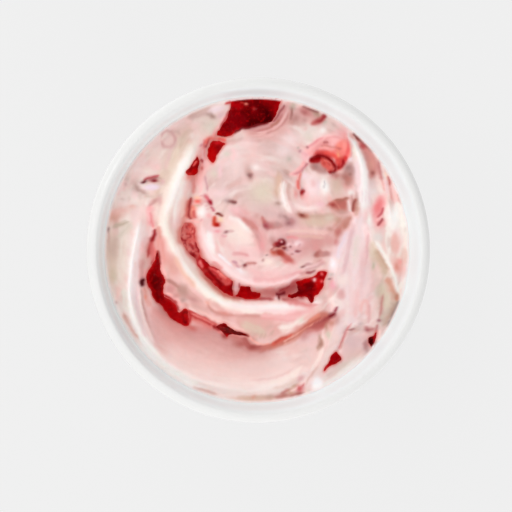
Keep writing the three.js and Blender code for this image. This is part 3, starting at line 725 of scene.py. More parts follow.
    # The inner fold and the mound that it wraps.
    dabs((251, 233, 224, 0.9, -7, 5.4, 5.4, 4.4, -35, 4), (252, 212, 212, 0.9, -15.4, 7.4, 3, 3.8, 10, 3),
        (250, 214, 212, 0.8, -5.4, -1.4, 4.6, 2.6, -20))
    pull((255, 228, 226), 1, (1.8, 1.4), [-20, 9, -19, 3, -17, -2, -13, -5, -9, -8.5, -5, -11.4, 0, -12.5,
        6, -12, 12, -10, 17, -8], streak=0.3)
    # Painted highlights: the bright white along the fold, and the white spots on the mound in the next line.
    pull((255, 250, 246), 1, (1.3, 1.2), [-18, 7, -17, 3, -16, 0, -14.5, -2.5], (0.15, 0.4), 2.6, 0.1)
    dabs((255, 250, 246, 1, -19.3, 12.9, 1.7, 2, 0, 3), (255, 244, 242, 0.9, -17.2, 11.4, 1.2, 1.4))
    pull((252, 206, 204), 0.8, (0.9, 0.8), [-15, 3, -13, -2.5, -7, -7.6], (0.2, 0.3))
    pull((255, 244, 246), 0.9, 0.7, [-14.6, -1, -11.6, -4, -8.6, -6.6], (0.2, 0.3))
    pull((232, 168, 166), 0.9, (1.8, 2), [-10, 14.6, -5.6, 12, -2, 8.6, 0.8, 4, 1.8, -1], (0.15, 0.3))
    pull((220, 140, 134), 0.9, (0.8, 0.9), [-6.6, 11.4, -4, 9.8, -1.6, 8, 0, 5.6], (0.2, 0.3))
    dab((250, 208, 208), 0.9, -8, 13.6, 2.6, 1.4, -20)
    pull((255, 248, 242), 0.9, (0.7, 1.1), [-10.8, 11.6, -7, 10.2, -4.6, 7.8, -2.4, 5], (0.15, 0.4))
    dab((206, 96, 106), 0.9, -18.3, 18.5, 0.8, 0.6, -50)
    pull((216, 76, 92), 0.9, 0.5, [-18.2, 18.6, -17.4, 17.3, -16.4, 16])
    dab((156, 12, 34), 1, -16.7, 16.4, 1, 0.75, -50, 3)
    pull((190, 66, 88), 0.9, 0.4, [-16.6, 15.4, -16, 14.2, -15.2, 13])
    pull((214, 70, 44), 1, (0.9, 0.8), [-14.6, 12, -15.4, 10.6, -15.3, 9.2, -14.2, 8.2], streak=0.1)
    dab((198, 30, 18), 1, -14.5, 8.7, 1.1, 0.9, 0, 2.6)
    pull((206, 60, 44), 0.9, (0.3, 0.35), [-15.4, 11.4, -15.7, 10, -15.5, 8.6])
    dab((165, 10, 8), 0.95, -14.3, 8.4, 0.7, 0.5)
    pull((118, 24, 18), 1, 0.45, [-15, 12, -14.2, 12.4, -13, 11.9, -12.2, 11], (0.1, 0.2), 2.6)
    dabs((248, 220, 186, 0.9, -13.1, 10.3, 0.9, 1), (244, 150, 160, 0.7, -14.4, 6.4, 1, 0.5),
        (156, 92, 98, 0.95, -11.3, 6.1, 0.8, 0.6, 20))
    pull((214, 172, 170), 0.8, (0.5, 0.6), [-10.8, 6.2, -9.8, 6.6, -8.4, 6.2], (0.2, 0.3))
    pull((232, 176, 180), 0.8, 0.4, [-13, 5.4, -12, 4.6, -10.6, 4.8])
    pull((198, 126, 146), 0.85, 0.5, [-9.6, -3.6, -8.4, -4.4, -7.2, -4.8])
    pull((214, 150, 162), 0.8, (0.5, 0.4), [-8.4, -5, -7.4, -5.8, -6.6, -6.8])
    # The first dab, white, is a painted highlight.
    dabs((255, 244, 246, 0.9, -6.4, -7.4, 1.6, 0.9, -30), (126, 38, 44, 1, -4.7, -5.7, 0.85, 0.5, 10, 2.6))
    pull((204, 128, 122), 0.9, (0.5, 0.6), [-5, -5.1, -3.4, -4.8, -1.8, -4.8, -0.4, -5])
    pull((232, 168, 168), 0.8, (0.8, 0.7), [-10, -1.6, -6, -1.4, -3, -2.4], 0.2)
    pull((240, 178, 178), 0.8, (0.9, 1.1), [-3, -10.2, 5, -10.6, 10, -9.2, 16, -7.2], streak=0.3)
    pull((250, 200, 198), 0.8, (2, 1.6), [-4, -8, 3, -9, 10, -7.4], (0.2, 0.3), streak=0.3)

    # The plateau: quiet, with a few dark marks in its pits.
    dabs((226, 216, 196, 0.9, 1.5, 20, 5, 4.5, 0, 2.4), (246, 226, 222, 0.8, -8, 30, 5, 5, 20),
        (238, 204, 198, 0.8, -2.6, 31, 3.6, 5, -10), (246, 222, 222, 0.8, -13, 19.6, 2.6, 1.6, 10),
        (226, 204, 196, 0.8, 9, 30, 5, 4, 0))
    # Painted shade beside the middle fold.
    pull((218, 186, 166), 0.9, (2.2, 1.2), [6.8, 28, 6.4, 22, 7, 17], (0.2, 0.3))
    dabs((204, 164, 156, 0.9, -3.2, 26.8, 1.5, 2.3, 20), (152, 98, 96, 0.9, -2.8, 25.8, 0.9, 0.9),
        (253, 242, 238, 0.9, -0.9, 28.6, 1.6, 1.4))
    pull((126, 56, 56), 1, (0.55, 0.6), [-11.6, 17.1, -9.6, 16.8, -7.2, 16.1], (0.4, 0.1), 2.4, 0.1)
    # The second dab is painted shade beside the pit at the fold.
    dabs((206, 174, 172, 0.8, -10.6, 17.2, 1.5, 0.8, 0), (196, 156, 146, 0.8, 10, 26.8, 2, 1, -40))
    pull((255, 206, 202), 0.8, (0.7, 0.6), [10.6, 25.4, 12.4, 26.6, 14, 28.6])
    dabs((180, 142, 132, 0.9, 7.2, 16, 1.3, 0.8), (222, 190, 186, 0.9, 4, 12.6, 4.6, 2.4, -10),
        (204, 142, 140, 0.95, 5.4, 8.4, 4, 1.5, -6), (196, 146, 146, 0.9, 11.4, 9.6, 2.6, 2, -20))
    fill((202, 138, 134), 0.85, 0.6, [1, 11.6, 2.2, 10.6, 4, 9.4, 8.4, 8.4, 7.6, 7.2, 4.6, 7, 3, 6.7,
        1.9, 8.2])
    pull((206, 120, 114), 0.95, 0.8, [1, 12, 1.6, 10.4, 2.6, 8.6], 0.2)
    dabs((170, 70, 80, 0.95, 2.9, 8.2, 1.4, 1, -50), (188, 104, 104, 0.7, 4.4, 8, 1.2, 0.6, -10),
        (196, 150, 146, 0.9, 7, 8.6, 1.6, 0.9))
    pull((186, 142, 140), 0.9, (0.7, 0.9), [8, 12, 9.6, 11.2, 10.8, 9.8, 11.4, 8.6], 0.2)
    dabs((190, 126, 128, 0.95, 11.8, 9.6, 1.4, 1, 20), (150, 98, 104, 0.9, 10.7, 9, 0.5, 0.5),
        (212, 160, 144, 0.9, 16.4, 11.4, 2.8, 1.2, -20), (196, 122, 108, 0.9, 16.2, 11.5, 1.8, 0.9, -15),
        (146, 64, 54, 0.95, 15.3, 11.9, 1.3, 0.7, -20), (220, 198, 178, 0.9, 21, 9.6, 6, 2, 4, 3))
    pull((206, 174, 156), 0.8, (0.9, 1), [17.4, 11.2, 20, 11.7, 24, 11.6, 27.4, 12.4], 0.2)
    pull((254, 245, 240), 1, (1.2, 1.1), [9, 24.4, 8.5, 21, 8.8, 18, 9.6, 15.4, 10.8, 13.6,
        12.2, 12.6], 0.15)
    pull((214, 176, 164), 0.8, 0.5, [10.6, 23.4, 10.6, 20, 11.2, 16.6])
    pull((240, 216, 208), 0.8, 0.9, [12, 22, 12.4, 18, 13.6, 15])
    pull((252, 232, 228), 0.8, 1.2, [12, 16.6, 15, 14.4, 20, 14.4, 23, 16], 0.2)
    dabs((246, 204, 208, 0.9, 22, 15.8, 1.8, 1), (250, 190, 190, 0.8, 16.6, 19.6, 1, 2.6),
        (228, 192, 190, 0.8, 19, 23.4, 0.9, 1.2))

    # The bead of jam in the middle, with its crumbs.
    dabs((220, 158, 158, 0.9, 13, 2, 7.4, 4.6, 0), (216, 150, 146, 0.8, 21, 2.6, 4.6, 2.4, 20))
    pull((240, 206, 196), 0.9, (0.6, 0.7), [9, 5.8, 15, 6.4, 22, 5.8, 26, 6.4], 0.2)
    pull((228, 184, 172), 0.9, 0.6, [12, 4.8, 18, 4.4, 24, 4], 0.2)
    pull((236, 140, 142), 0.8, (0.4, 0.5), [9.6, 4, 12, 4.4, 14.6, 3.6])
    dabs((250, 178, 178, 0.9, 1.2, 1.4, 1.4, 2.4, 0), (255, 236, 226, 0.95, 3.6, -4.4, 2, 1.3, 10),
        (206, 92, 76, 0.95, 5.6, -1.3, 1.7, 0.9, -20))
    pull((196, 92, 80), 0.9, (1.1, 1), [6, -0.8, 8.2, -1.5, 10, -2.9, 12.2, -4.4], (0.1, 0.3))
    # The last dab in these rows, pale pink at 8, 2.6, is a painted highlight on the bead.
    dabs((170, 52, 40, 0.95, 7.9, -1.4, 1.7, 1.1, -35, 3), (128, 40, 44, 0.9, 9.2, 0.1, 0.9, 0.5, -30),
        (204, 100, 96, 0.95, 10.6, -3.6, 2.4, 1.2, -30, 3), (226, 120, 116, 0.7, 9.4, -4.6, 1.4, 0.5, -30),
        (120, 30, 30, 0.9, 9.3, 0.3, 0.7, 0.5), (160, 28, 34, 1, 6.2, 1.8, 1.3, 1, 0, 3),
        (104, 4, 14, 1, 8.1, 2.2, 1.6, 1.5, 0, 4), (100, 4, 12, 0.9, 6.8, 0.8, 0.8, 0.45),
        (176, 40, 48, 0.8, 7.4, 2.9, 0.5, 0.5), (255, 214, 214, 1, 8, 2.6, 0.42, 0.5))
    pull((230, 152, 132), 0.95, (0.3, 0.35), [5.6, 0.2, 7.2, 0.2, 8.6, 0.9, 9.6, 0.6])
    pull((190, 90, 80), 0.9, (0.35, 0.4), [4, -0.6, 5.6, 0.6, 5.2, 2.6])
    dabs((250, 226, 226, 0.95, 13.8, 2, 2.2, 1.4, 10), (246, 216, 216, 0.9, 10.6, 1.6, 0.8, 0.6, 20),
        (240, 200, 202, 0.9, 12.6, -1, 2.4, 0.8, 0), (212, 160, 162, 0.8, 12.4, 2.6, 0.3, 0.9, 20),
        (214, 160, 162, 0.8, 14.6, 1.4, 0.3, 0.8, -20), (192, 140, 144, 0.8, 10.4, -0.4, 0.7, 0.4, -20),
        (112, 40, 50, 0.95, 13.8, -0.7, 0.65, 0.4, -10))
    pull((176, 100, 104), 0.9, 0.25, [12.8, -1, 14, -0.6, 15.2, -0.6])
    dabs((150, 80, 84, 0.9, 11.4, 0.7, 0.4, 0.4), (188, 120, 120, 0.8, 11.9, -1.6, 0.6, 0.5))
    fill((198, 122, 118), 0.85, 0.6, [21.4, 0.2, 19.4, -2.2, 20.6, -2.9, 23, -2.5, 25, -1.9, 24.6, -1,
        22.4, -0.9])
    dabs((174, 98, 90, 0.95, 20.8, -1.8, 1.3, 0.9, 10, 3), (206, 144, 138, 0.9, 23, -1.9, 2.4, 0.9, 5),
        (206, 134, 128, 0.8, 22, -4.4, 1.1, 0.7), (222, 152, 148, 0.8, 20.4, 0.6, 1.4, 1.2, 30))
    pull((186, 130, 132), 0.85, 0.45, [14.6, -6.4, 15.8, -6.1, 17, -5.4, 19.6, -4.9], (0.1, 0.4))
    dab((150, 92, 90), 0.9, 15.6, -6.2, 0.7, 0.4, 15)
    pull((208, 152, 158), 0.7, (0.3, 0.35), [16, -7.4, 19, -6.4, 21.6, -5.6, 24, -4.4])
    pull((214, 142, 140), 0.7, 0.5, [14, -8.6, 16.4, -8.2, 18.6, -7.6], 0.2)
    pull((240, 206, 210), 0.7, 0.3, [15.4, -6.9, 18.4, -6, 21.2, -4.9, 23.6, -3.4])
    pull((150, 60, 66), 0.7, 0.5, [16.4, -8.6, 18.4, -8, 20.4, -7.2])
    dabs((120, 60, 56, 0.7, 3, -2.1, 0.35, 0.25), (160, 90, 86, 0.7, 1.7, -3.8, 0.5, 0.4))

    # The top: a band of fine lines beside the top pool, and the stains right of it.
    dab((226, 214, 200), 0.9, -17, 43, 4.5, 3.4, 40)
    pull((208, 172, 164), 0.9, (1.1, 1.3), [-25, 45.6, -20, 47.6, -15, 49], 0.15)
    dabs((253, 234, 237, 1, -14.6, 48.8, 3.2, 1.3, 18, 3), (226, 190, 192, 0.8, -13, 46.8, 1.7, 1, 30),
        (176, 136, 126, 0.95, -16.1, 46.5, 1.3, 0.8, -25), (196, 160, 152, 0.8, -17.6, 47.1, 0.9, 0.5, -25))
    pull((255, 206, 200), 0.95, (1.5, 0.7), [-11, 47.4, -12.8, 44, -14.6, 41.4, -16.4, 39], (0.15, 0.1))
    pull((222, 164, 158), 0.95, (3, 3.4), [-6, 41, 1, 41.8, 6.4, 44.4, 9.4, 48, 11, 53], streak=0.5)
    pull((226, 160, 160), 0.95, (0.5, 1.2), [-4, 42, 1, 43, 5, 44.4, 7.6, 47.4, 8.8, 51], 0.05)
    pull((172, 88, 90), 0.9, (0.35, 0.45), [4.6, 44.4, 6.6, 46.2, 8, 48.4, 9.4, 51])
    pull((196, 118, 116), 0.9, (0.35, 0.4), [-2, 41, 3.4, 42.2, 6.6, 44.4, 8.8, 47.4], (0.2, 0.1))
    pull((240, 196, 192), 0.9, (0.4, 0.5), [-1, 40.4, 4.4, 41.6, 8, 44.6, 10.2, 48.6, 10.8, 52])
    pull((206, 138, 134), 0.8, 0.4, [2, 40.2, 6.6, 42, 9.4, 45, 10.6, 47.6])
    pull((188, 120, 104), 0.7, 0.4, [3.8, 42.8, 6, 44, 7.4, 45.6])
    pull((165, 100, 96), 0.9, (0.4, 0.5), [11.9, 50, 11.8, 47.4, 11.2, 44.8])
    dabs((200, 184, 168, 0.9, 12.2, 50.2, 1.1, 1.6), (198, 142, 136, 0.9, 13, 45.6, 2.4, 1.8, 30),
        (220, 150, 146, 0.95, 17, 47.8, 3, 1.8, -30, 3), (184, 148, 128, 0.9, 20.6, 47.2, 1.4, 1.1, -30))
    pull((146, 84, 80), 0.9, (0.4, 0.5), [15.2, 50.2, 18, 49, 21.4, 47.9])
    pull((218, 140, 136), 0.8, 1.6, [17.6, 43.4, 20.6, 44.8, 23, 46.2], (0.2, 0.1))
    pull((150, 22, 30), 1, (0.7, 0.8), [19.6, 43.8, 21.2, 45, 22.6, 46.2, 24, 46.8], (0.25, 0.05))
    # The white dab at 22.4, 41.6 is a painted highlight.
    dabs((112, 8, 14, 0.9, 23.3, 46.7, 0.9, 0.6, 20), (204, 196, 182, 0.7, 23.4, 44.6, 1.3, 0.8, 40),
        (242, 230, 222, 0.9, 18, 41, 4.4, 2.6, 20, 3), (224, 218, 204, 0.7, 17.6, 39, 1.2, 1.6, 0),
        (238, 196, 190, 0.7, 16.4, 42.2, 0.8, 0.6), (255, 250, 246, 1, 22.4, 41.6, 1.7, 0.9, 40),
        (244, 226, 224, 0.8, 9, 34.4, 3.4, 2.4), (250, 232, 230, 0.8, 11, 38.2, 3.4, 2.2),
        (202, 190, 178, 0.8, 10.8, 31.6, 1, 1), (176, 160, 150, 0.7, 14, 35.6, 0.5, 0.4))
    pull((250, 214, 212), 0.8, 1.4, [-9.6, 36, -8.4, 33.6, -9.4, 30])
    dabs((222, 216, 202, 0.8, -11, 33.2, 1.2, 0.9), (226, 216, 200, 0.8, -15.4, 26.4, 1.5, 1.5),
        (250, 210, 214, 0.8, -13.4, 27, 0.8, 2))

    # The curl: a hood of salmon pink rolled over a dark slit, with the pale mound below it.
    fill((252, 194, 192), 1, 1.2, [16.6, 35, 19, 36.8, 22, 38.8, 25.4, 40.8, 28.6, 42, 31.4, 41.2,
        32.8, 38.4, 33.1, 35.4, 32.4, 32.4, 30.6, 31, 28, 31, 24, 33.6, 20.4, 33.4, 18, 31.6, 16.4, 32.6])
    pull((255, 214, 210), 0.8, 0.8, [20.6, 37, 24.6, 39.6, 28.6, 41], 0.2)
    pull((238, 158, 158), 0.8, 0.4, [22.4, 38.2, 26, 39.3, 29.4, 38.6], 0.2)
    fill((249, 134, 126), 0.95, 0.9, [20, 33.2, 22.6, 34.6, 25.6, 35, 27.4, 36.8, 29, 38.6, 31.2, 39,
        32.4, 37.2, 32.6, 35, 31.8, 32.6, 30.6, 30.4, 28.8, 29.2, 27.6, 30.6, 26, 32, 23.4, 33.2, 21, 33])
    dab((252, 176, 172), 0.9, 30.4, 39.6, 1.8, 1.2, -20)
    fill((234, 152, 150), 0.8, 1.2, [17.4, 33, 19.2, 35.2, 21.4, 37.6, 24, 38.4, 25, 36.8, 22, 35,
        20.2, 33.4])
    pull((255, 180, 174), 0.95, 0.5, [20.8, 34.7, 22.8, 35.4, 25.4, 35.4, 27.4, 34.7], (0.1, 0.3))
    pull((214, 76, 74), 0.9, (0.7, 0.8), [18.6, 33, 20.6, 33.9, 22.8, 34, 25, 33.2, 26.8, 31.7], 0.2)
    pull((222, 132, 126), 0.9, (0.35, 0.4), [21.2, 36.2, 23.6, 36.1, 26.4, 35.7, 28.2, 35.2], 0.2)
    pull((172, 84, 86), 0.9, 0.45, [22.2, 37.1, 23.4, 37.4, 24.6, 37.2], 0.2)
    pull((236, 88, 80), 0.9, (0.6, 0.8), [22, 33.7, 25, 33.5, 27.2, 32.2, 28.6, 30.6], 0.2)
    pull((240, 102, 100), 0.9, (0.5, 0.6), [30.9, 39.4, 31.4, 37, 31.2, 34.4, 30.4, 32.4], 0.2)
    pull((254, 160, 150), 0.9, 0.5, [29.4, 38.6, 30, 36.4, 29.8, 34], 0.2)
    # The dabs at 27.7, 33.1 and 28.7, 31.8 are painted highlights on the hood.
    dabs((250, 150, 130, 0.7, 28, 36.4, 0.6, 0.9), (206, 94, 86, 0.85, 28.1, 35.2, 0.9, 0.35),
        (255, 166, 126, 0.95, 27.7, 33.1, 0.5, 1.1, 10), (255, 142, 114, 0.8, 28.7, 31.8, 0.5, 0.9))
    pull((210, 118, 124), 0.85, (0.3, 0.4), [32.4, 38.6, 33.1, 36, 32.9, 33.8, 31.8, 31.8], 0.2)
    fill((210, 62, 60), 1, 0.7, [27, 31.2, 28.4, 32, 30, 32.4, 30.9, 31.4, 30.6, 30, 29.6, 28.6, 28.2, 27.6,
        27.2, 27.2, 27.6, 28.8])
    dabs((228, 96, 88, 0.9, 27.6, 30.4, 0.5, 0.9, -30), (226, 52, 52, 0.95, 30.2, 31.8, 0.8, 0.9))
    pull((160, 6, 14), 1, (0.45, 0.5), [29, 31.4, 29.7, 30.4, 29.4, 29.2, 28.6, 28.4], (0.15, 0.2))
    dab((146, 6, 10), 0.95, 28.2, 28.6, 0.6, 0.6)
    # Painted shade under the hood, below the slit.
    fill((190, 138, 132), 0.9, 0.9, [18.4, 30.2, 22, 30.4, 24, 28.4, 24.4, 26.8, 22.6, 26.5, 20.6, 27,
        18.8, 28.2])
    fill((216, 90, 82), 1, 0.6, [21.4, 32.3, 23.2, 32.4, 25, 31.4, 26.4, 29.6, 26.9, 28, 25.6, 27.2,
        24.2, 27.6, 22.6, 28.6, 21.6, 30])
    dabs((188, 62, 54, 0.8, 22.9, 30, 0.6, 0.5), (240, 124, 116, 0.8, 25.4, 28.8, 0.7, 0.7))
    pull((244, 140, 130), 0.8, 0.3, [22.6, 31.2, 24.2, 30.9, 25.6, 29.6])
    pull((196, 66, 62), 0.7, 0.3, [23.6, 29.6, 24.6, 29.8, 25.2, 28.8])
    fill((160, 2, 10), 1, 0.5, [17.6, 30.8, 18.1, 31.9, 19.6, 32.7, 21.2, 33, 22, 32.3, 21.6, 31.2,
        21.2, 30.5, 20, 30.3, 18.6, 30.3])
    pull((150, 0, 8), 1, (0.6, 0.55), [20, 32.4, 21.6, 32.8, 23.2, 32.6, 24.8, 31.7, 26.1, 30.3, 27, 28.9,
        27.2, 27.8], (0.1, 0.05))
    pull((156, 6, 12), 1, 0.5, [27.4, 28.4, 26.8, 27.2, 25.4, 26.9, 24, 27.4], (0.1, 0.3))
    # More painted shade below the slit.
    dabs((166, 122, 120, 0.9, 19.8, 28.9, 1, 0.9), (190, 140, 138, 0.85, 21.6, 28, 1.6, 0.9, -20),
        (178, 110, 108, 0.7, 23.3, 28, 0.4, 0.4))
    pull((236, 144, 150), 0.95, (0.35, 0.4), [23, 39.3, 20.6, 38, 18.6, 36.6, 16.4, 35.2], (0.2, 0.1))
    dabs((152, 88, 96, 0.9, 17, 35.6, 0.45, 0.35), (190, 130, 138, 0.9, 14.7, 34.4, 0.6, 0.5, 20))
    pull((232, 160, 166), 0.8, (0.4, 0.5), [14.8, 33.8, 16.4, 33.2, 17.4, 32.2])
    dab((250, 198, 200), 0.9, 16.2, 32, 1.3, 1.9, 30)
    pull((250, 190, 188), 0.95, (0.8, 0.7), [16.8, 31, 15.2, 29, 13.2, 27, 10.6, 26.2], (0.15, 0.2))
    pull((200, 112, 120), 0.9, (0.4, 0.45), [17.9, 30.3, 16.6, 29.2, 15.4, 27.8, 14, 26.8, 12.4, 26.4,
        11.4, 25.6], (0.1, 0.3))
    # The last dab, white at 23, 22, is a painted highlight on the mound.
    dabs((250, 226, 230, 0.9, 16.2, 25.8, 1.1, 1.4), (250, 230, 230, 0.95, 18.6, 22.6, 2.4, 4.2, 0, 3),
        (236, 216, 220, 0.8, 20.8, 22, 0.9, 2.6), (255, 252, 248, 1, 23, 22, 1.7, 3.6, 0, 3))
    pull((252, 196, 192), 0.95, 0.6, [14.2, 26.6, 14, 24.4, 14, 22.4, 14.6, 20.6], (0.2, 0.1))
    pull((240, 146, 140), 0.95, (0.6, 0.7), [15, 27.4, 14.2, 25, 13.9, 22.6, 14.5, 20.8], (0.2, 0.05))
    pull((222, 108, 102), 0.9, 0.4, [13.6, 24.6, 13.6, 22.4, 14.3, 20.8], (0.3, 0.05))
    dabs((226, 150, 146, 0.8, 13.2, 19.6, 0.9, 1.7), (232, 192, 190, 0.8, 19, 23, 1.1, 1.6),
        (150, 20, 26, 1, 15.2, 19.9, 0.8, 1.25, 0, 3), (172, 46, 46, 0.9, 15.9, 20.3, 0.35, 0.35),
        (242, 160, 154, 0.8, 15.4, 18.4, 0.7, 0.8))
    pull((206, 198, 198), 0.8, (0.2, 0.25), [23.2, 24, 22.8, 23.2, 23.1, 22.5, 22.5, 21.8, 22.8, 21])
    # The last dab here, at 31.5, 24, begins the painted shade in the hollow beside the mound.
    dabs((228, 204, 188, 0.95, 27.4, 22.4, 2.2, 3.6, 0, 3), (240, 204, 198, 0.8, 26, 25.4, 1.2, 0.8),
        (252, 236, 240, 0.9, 32, 31.2, 1.3, 0.9, 30), (210, 146, 136, 0.9, 31.5, 24, 1.4, 2.4))
    # Painted shade in the hollow beside the mound: this fill and the dabs below; the last of those, white at
    # 32.6, 19.7, is a painted highlight.
    fill((198, 150, 144), 0.85, 1, [30.4, 29.6, 33, 29.8, 34.6, 27.8, 34, 26, 33.2, 23, 31.2, 22.6,
        30.4, 26])
    dabs((190, 148, 144, 0.95, 32.2, 27.9, 2.4, 1.6, -20), (160, 116, 116, 0.6, 31.6, 28.6, 1, 0.7),
        (204, 130, 120, 0.9, 31.8, 24.4, 1.2, 1.4), (162, 112, 104, 0.8, 32.3, 26.3, 0.6, 0.6),
        (255, 250, 246, 0.95, 32.6, 19.7, 1.4, 1.1))
    pull((208, 188, 182), 0.7, (0.3, 0.35), [33.8, 23, 34.5, 21.6, 34.3, 19.8])
    # Painted shade under the ledge, and in the slit at its end.
    dab((214, 160, 148), 0.9, 28.4, 15.6, 4, 2.6, 8)
    fill((198, 112, 102), 0.95, 1, [24.4, 15.6, 27, 17.1, 30, 18, 31.2, 16.4, 30.8, 13.6, 29, 12.6,
        27, 13.8])
    dab((166, 66, 62), 0.9, 26.2, 15.5, 1.1, 0.7, -20)
    pull((222, 148, 136), 0.8, 0.3, [26.6, 16.6, 28, 15.2, 28.8, 13.6])
    dab((206, 166, 156), 0.8, 29.4, 13, 2, 1)
    pull((172, 108, 94), 0.9, (0.4, 0.6), [26.2, 17, 28.4, 17.3, 30.4, 17.8, 32.2, 18.1], 0.2)
    pull((206, 162, 148), 0.9, 0.7, [34.9, 17, 34.6, 14.2, 34, 11.4])
    pull((158, 104, 94), 0.8, (0.4, 0.5), [34.4, 21, 34.7, 18.6, 34.3, 16], (0.3, 0.2))
    pull((172, 88, 78), 0.95, (0.6, 0.55), [34.2, 18.2, 33.7, 15.6, 33.2, 12.8], 0.2)
    pull((255, 240, 238), 1, 0.6, [31.6, 17.6, 32.1, 15.2, 32.3, 12.8], (0.15, 0.2))
    dabs((222, 206, 190, 0.9, 25.4, 11, 2.2, 1), (206, 170, 152, 0.9, 28, 10.2, 1.8, 1.2))
    pull((206, 138, 126), 0.95, (1.5, 2.8), [32.8, 12.4, 30.6, 8.8, 28.2, 5.8, 27, 2.6], (0.15, 0.2))
    pull((184, 112, 98), 0.9, (0.6, 0.8), [32.6, 11.6, 31.4, 9, 29.8, 6.8], (0.15, 0.3))
    dabs((200, 116, 112, 0.85, 28, 5.8, 1.5, 1.5, 30), (190, 136, 134, 0.8, 23.8, -1.8, 1.6, 0.9),
        (210, 128, 126, 0.9, 27.3, 2.6, 1.1, 1.3), (202, 148, 138, 0.85, 25.2, 7, 1.2, 1),
        (220, 158, 154, 0.8, 25, 3, 1.4, 1.8))

    # The broad ribbon down the right side, white at its top and streaked pink lower down.
    pull((253, 251, 248), 1, (2.2, 2), [31, 42, 33.4, 38.4, 34.8, 35, 36.4, 31, 37, 27, 37, 22, 36.8, 17,
        36.6, 11], (0.08, 0.2), 2.6, 0.1)
    pull((249, 230, 232), 0.9, 0.9, [34, 32, 34.8, 27, 35, 22, 35, 18], 0.2)
    dab((252, 240, 226), 0.9, 33.4, 34, 0.9, 2.6, 6)
    for line_x in (36.2, 37.5, 38.7):
        pull((236, 212, 218), 0.6, (0.3, 0.35), [line_x, 21.6, line_x + 0.2, 18.6, line_x, 15.6], 0.3)
    pull((250, 228, 228), 0.95, (3.4, 3), [36, 14, 34.4, 6, 33, -2, 32, -10, 32, -19,
        31, -27], (0.1, 0.3), 3)
    pull((234, 222, 230), 0.9, (1, 1.3), [31.8, 7, 29.8, 3, 28, -1, 27.4, -4], 0.2)
    pull((230, 192, 194), 0.85, (1, 1.2), [33.6, 10, 32.2, 4, 31, -2, 30.2, -7, 28.6, -11], (0.2, 0.3))
    pull((240, 226, 218), 0.9, 1.4, [35, 6, 34, 0, 33.8, -8], (0.2, 0.3))
    pull((240, 206, 206), 0.8, 1.2, [37.4, 2, 36.8, -6, 36.6, -14, 37, -20], 0.2)
    pull((230, 188, 190), 0.8, (0.5, 0.6), [38.5, 6, 38.4, 1, 38.1, -6], (0.2, 0.3))
    pull((246, 218, 216), 0.8, 1, [32, -3, 32, -12, 33, -20, 32.4, -26], 0.2)
    dabs((255, 236, 230, 0.95, 29.4, -11, 2.6, 1.9, 20, 3), (228, 174, 172, 0.9, 28.8, -16, 1.5, 2, 0, 3))
    pull((244, 200, 196), 0.8, 1.2, [34.6, -13, 34.8, -19, 34, -25], 0.2)
    pull((250, 230, 224), 0.8, 0.8, [31, -17, 31, -23, 30, -29], 0.2)
    pull((244, 196, 190), 0.9, 0.9, [36.4, -23.4, 36.4, -20, 37.4, -18.4, 38.5, -20, 38.6, -25], 0.2)
    pull((222, 168, 166), 0.7, (0.4, 0.5), [38.9, -19, 39, -23, 38.8, -27], 0.2)
    # The first dab, white-blue, is a painted highlight on the ribbon.
    dabs((255, 252, 255, 1, 26.1, -5.2, 1.2, 2.8, 0, 2), (208, 196, 192, 0.9, 25.4, -9, 0.9, 0.7),
        (122, 62, 68, 0.9, 25, -10.3, 0.5, 0.35), (240, 172, 184, 0.9, 25.8, -12.6, 1.1, 1.8))
    pull((252, 234, 228), 0.9, (2.4, 2), [23, -18, 27, -18.6, 29.4, -22], 0.2)
    pull((246, 220, 213), 0.8, (2.2, 2), [27, -27, 25, -34, 21, -42, 18, -47], (0.2, 0.1))
    dabs((216, 210, 190, 0.9, 24.6, -30, 0.8, 1.5, 10), (255, 236, 230, 0.8, 23, -31.6, 0.5, 3, 6),
        (200, 158, 142, 0.8, 21.5, -30.7, 0.7, 0.8))
    pull((186, 140, 124), 0.8, 0.9, [21.6, -30.4, 22, -32, 21.8, -33.8, 20.4, -36.2], 0.3)
    dab((172, 122, 108), 0.8, 21.8, -33.4, 0.6, 0.7)
    pull((240, 204, 198), 0.8, (0.5, 0.6), [24.4, -32, 22.6, -37, 19.4, -43, 17, -47], 0.2)
    pull((255, 240, 232), 0.9, 0.7, [22.8, -34, 21, -39, 18, -43.4], 0.2)

    # Right of the ribbon: a valley, stained with jam and darkened with painted shade, then cream up to the
    # wall, with pink dragged through it.
    fill((212, 140, 134), 0.9, 1, [34.6, 38.6, 38, 36.4, 40.6, 33.8, 41.6, 31, 42, 27, 40.4, 24.6, 38.9, 25,
        38.6, 29, 36.6, 33.8])
    dabs((224, 162, 150, 0.9, 39.7, 29.6, 1.2, 2), (236, 214, 212, 0.9, 40, 23, 1.6, 1.4),
        (240, 228, 226, 0.9, 40.4, 20.4, 1.8, 1.8), (190, 76, 78, 0.95, 36.7, 36.4, 1.1, 1.2, -50))
    pull((150, 52, 46), 0.95, (0.7, 0.6), [33.8, 39.8, 35, 38.6, 36.2, 37.4], (0.1, 0.3))
    pull((84, 18, 14), 1, 0.5, [32.9, 40.6, 33.8, 39.9, 35, 39.1, 36.6, 37.8], (0.1, 0.4))
    pull((126, 54, 48), 0.95, (0.5, 0.45), [34, 40, 35.8, 38.5, 37.5, 36.9, 38.9, 35.5,
        40.6, 33.7], (0.1, 0.2))
    dab((164, 92, 86), 0.9, 40.3, 26.8, 0.8, 0.7)
    pull((246, 224, 214), 0.95, 0.5, [40.8, 35, 42.6, 31.6, 44, 28], (0.1, 0.2))
    pull((196, 150, 148), 0.8, (0.3, 0.35), [41.8, 31.8, 42.5, 29.6, 42.9, 28], 0.2)
    pull((196, 112, 112), 0.9, (0.5, 0.6), [41.6, 31.6, 42.4, 28.6, 43.2, 25.4, 43.8, 22.6], (0.25, 0.3))
    pull((234, 170, 164), 0.8, 0.5, [43.5, 24.4, 44, 22, 44.2, 20], 0.3)
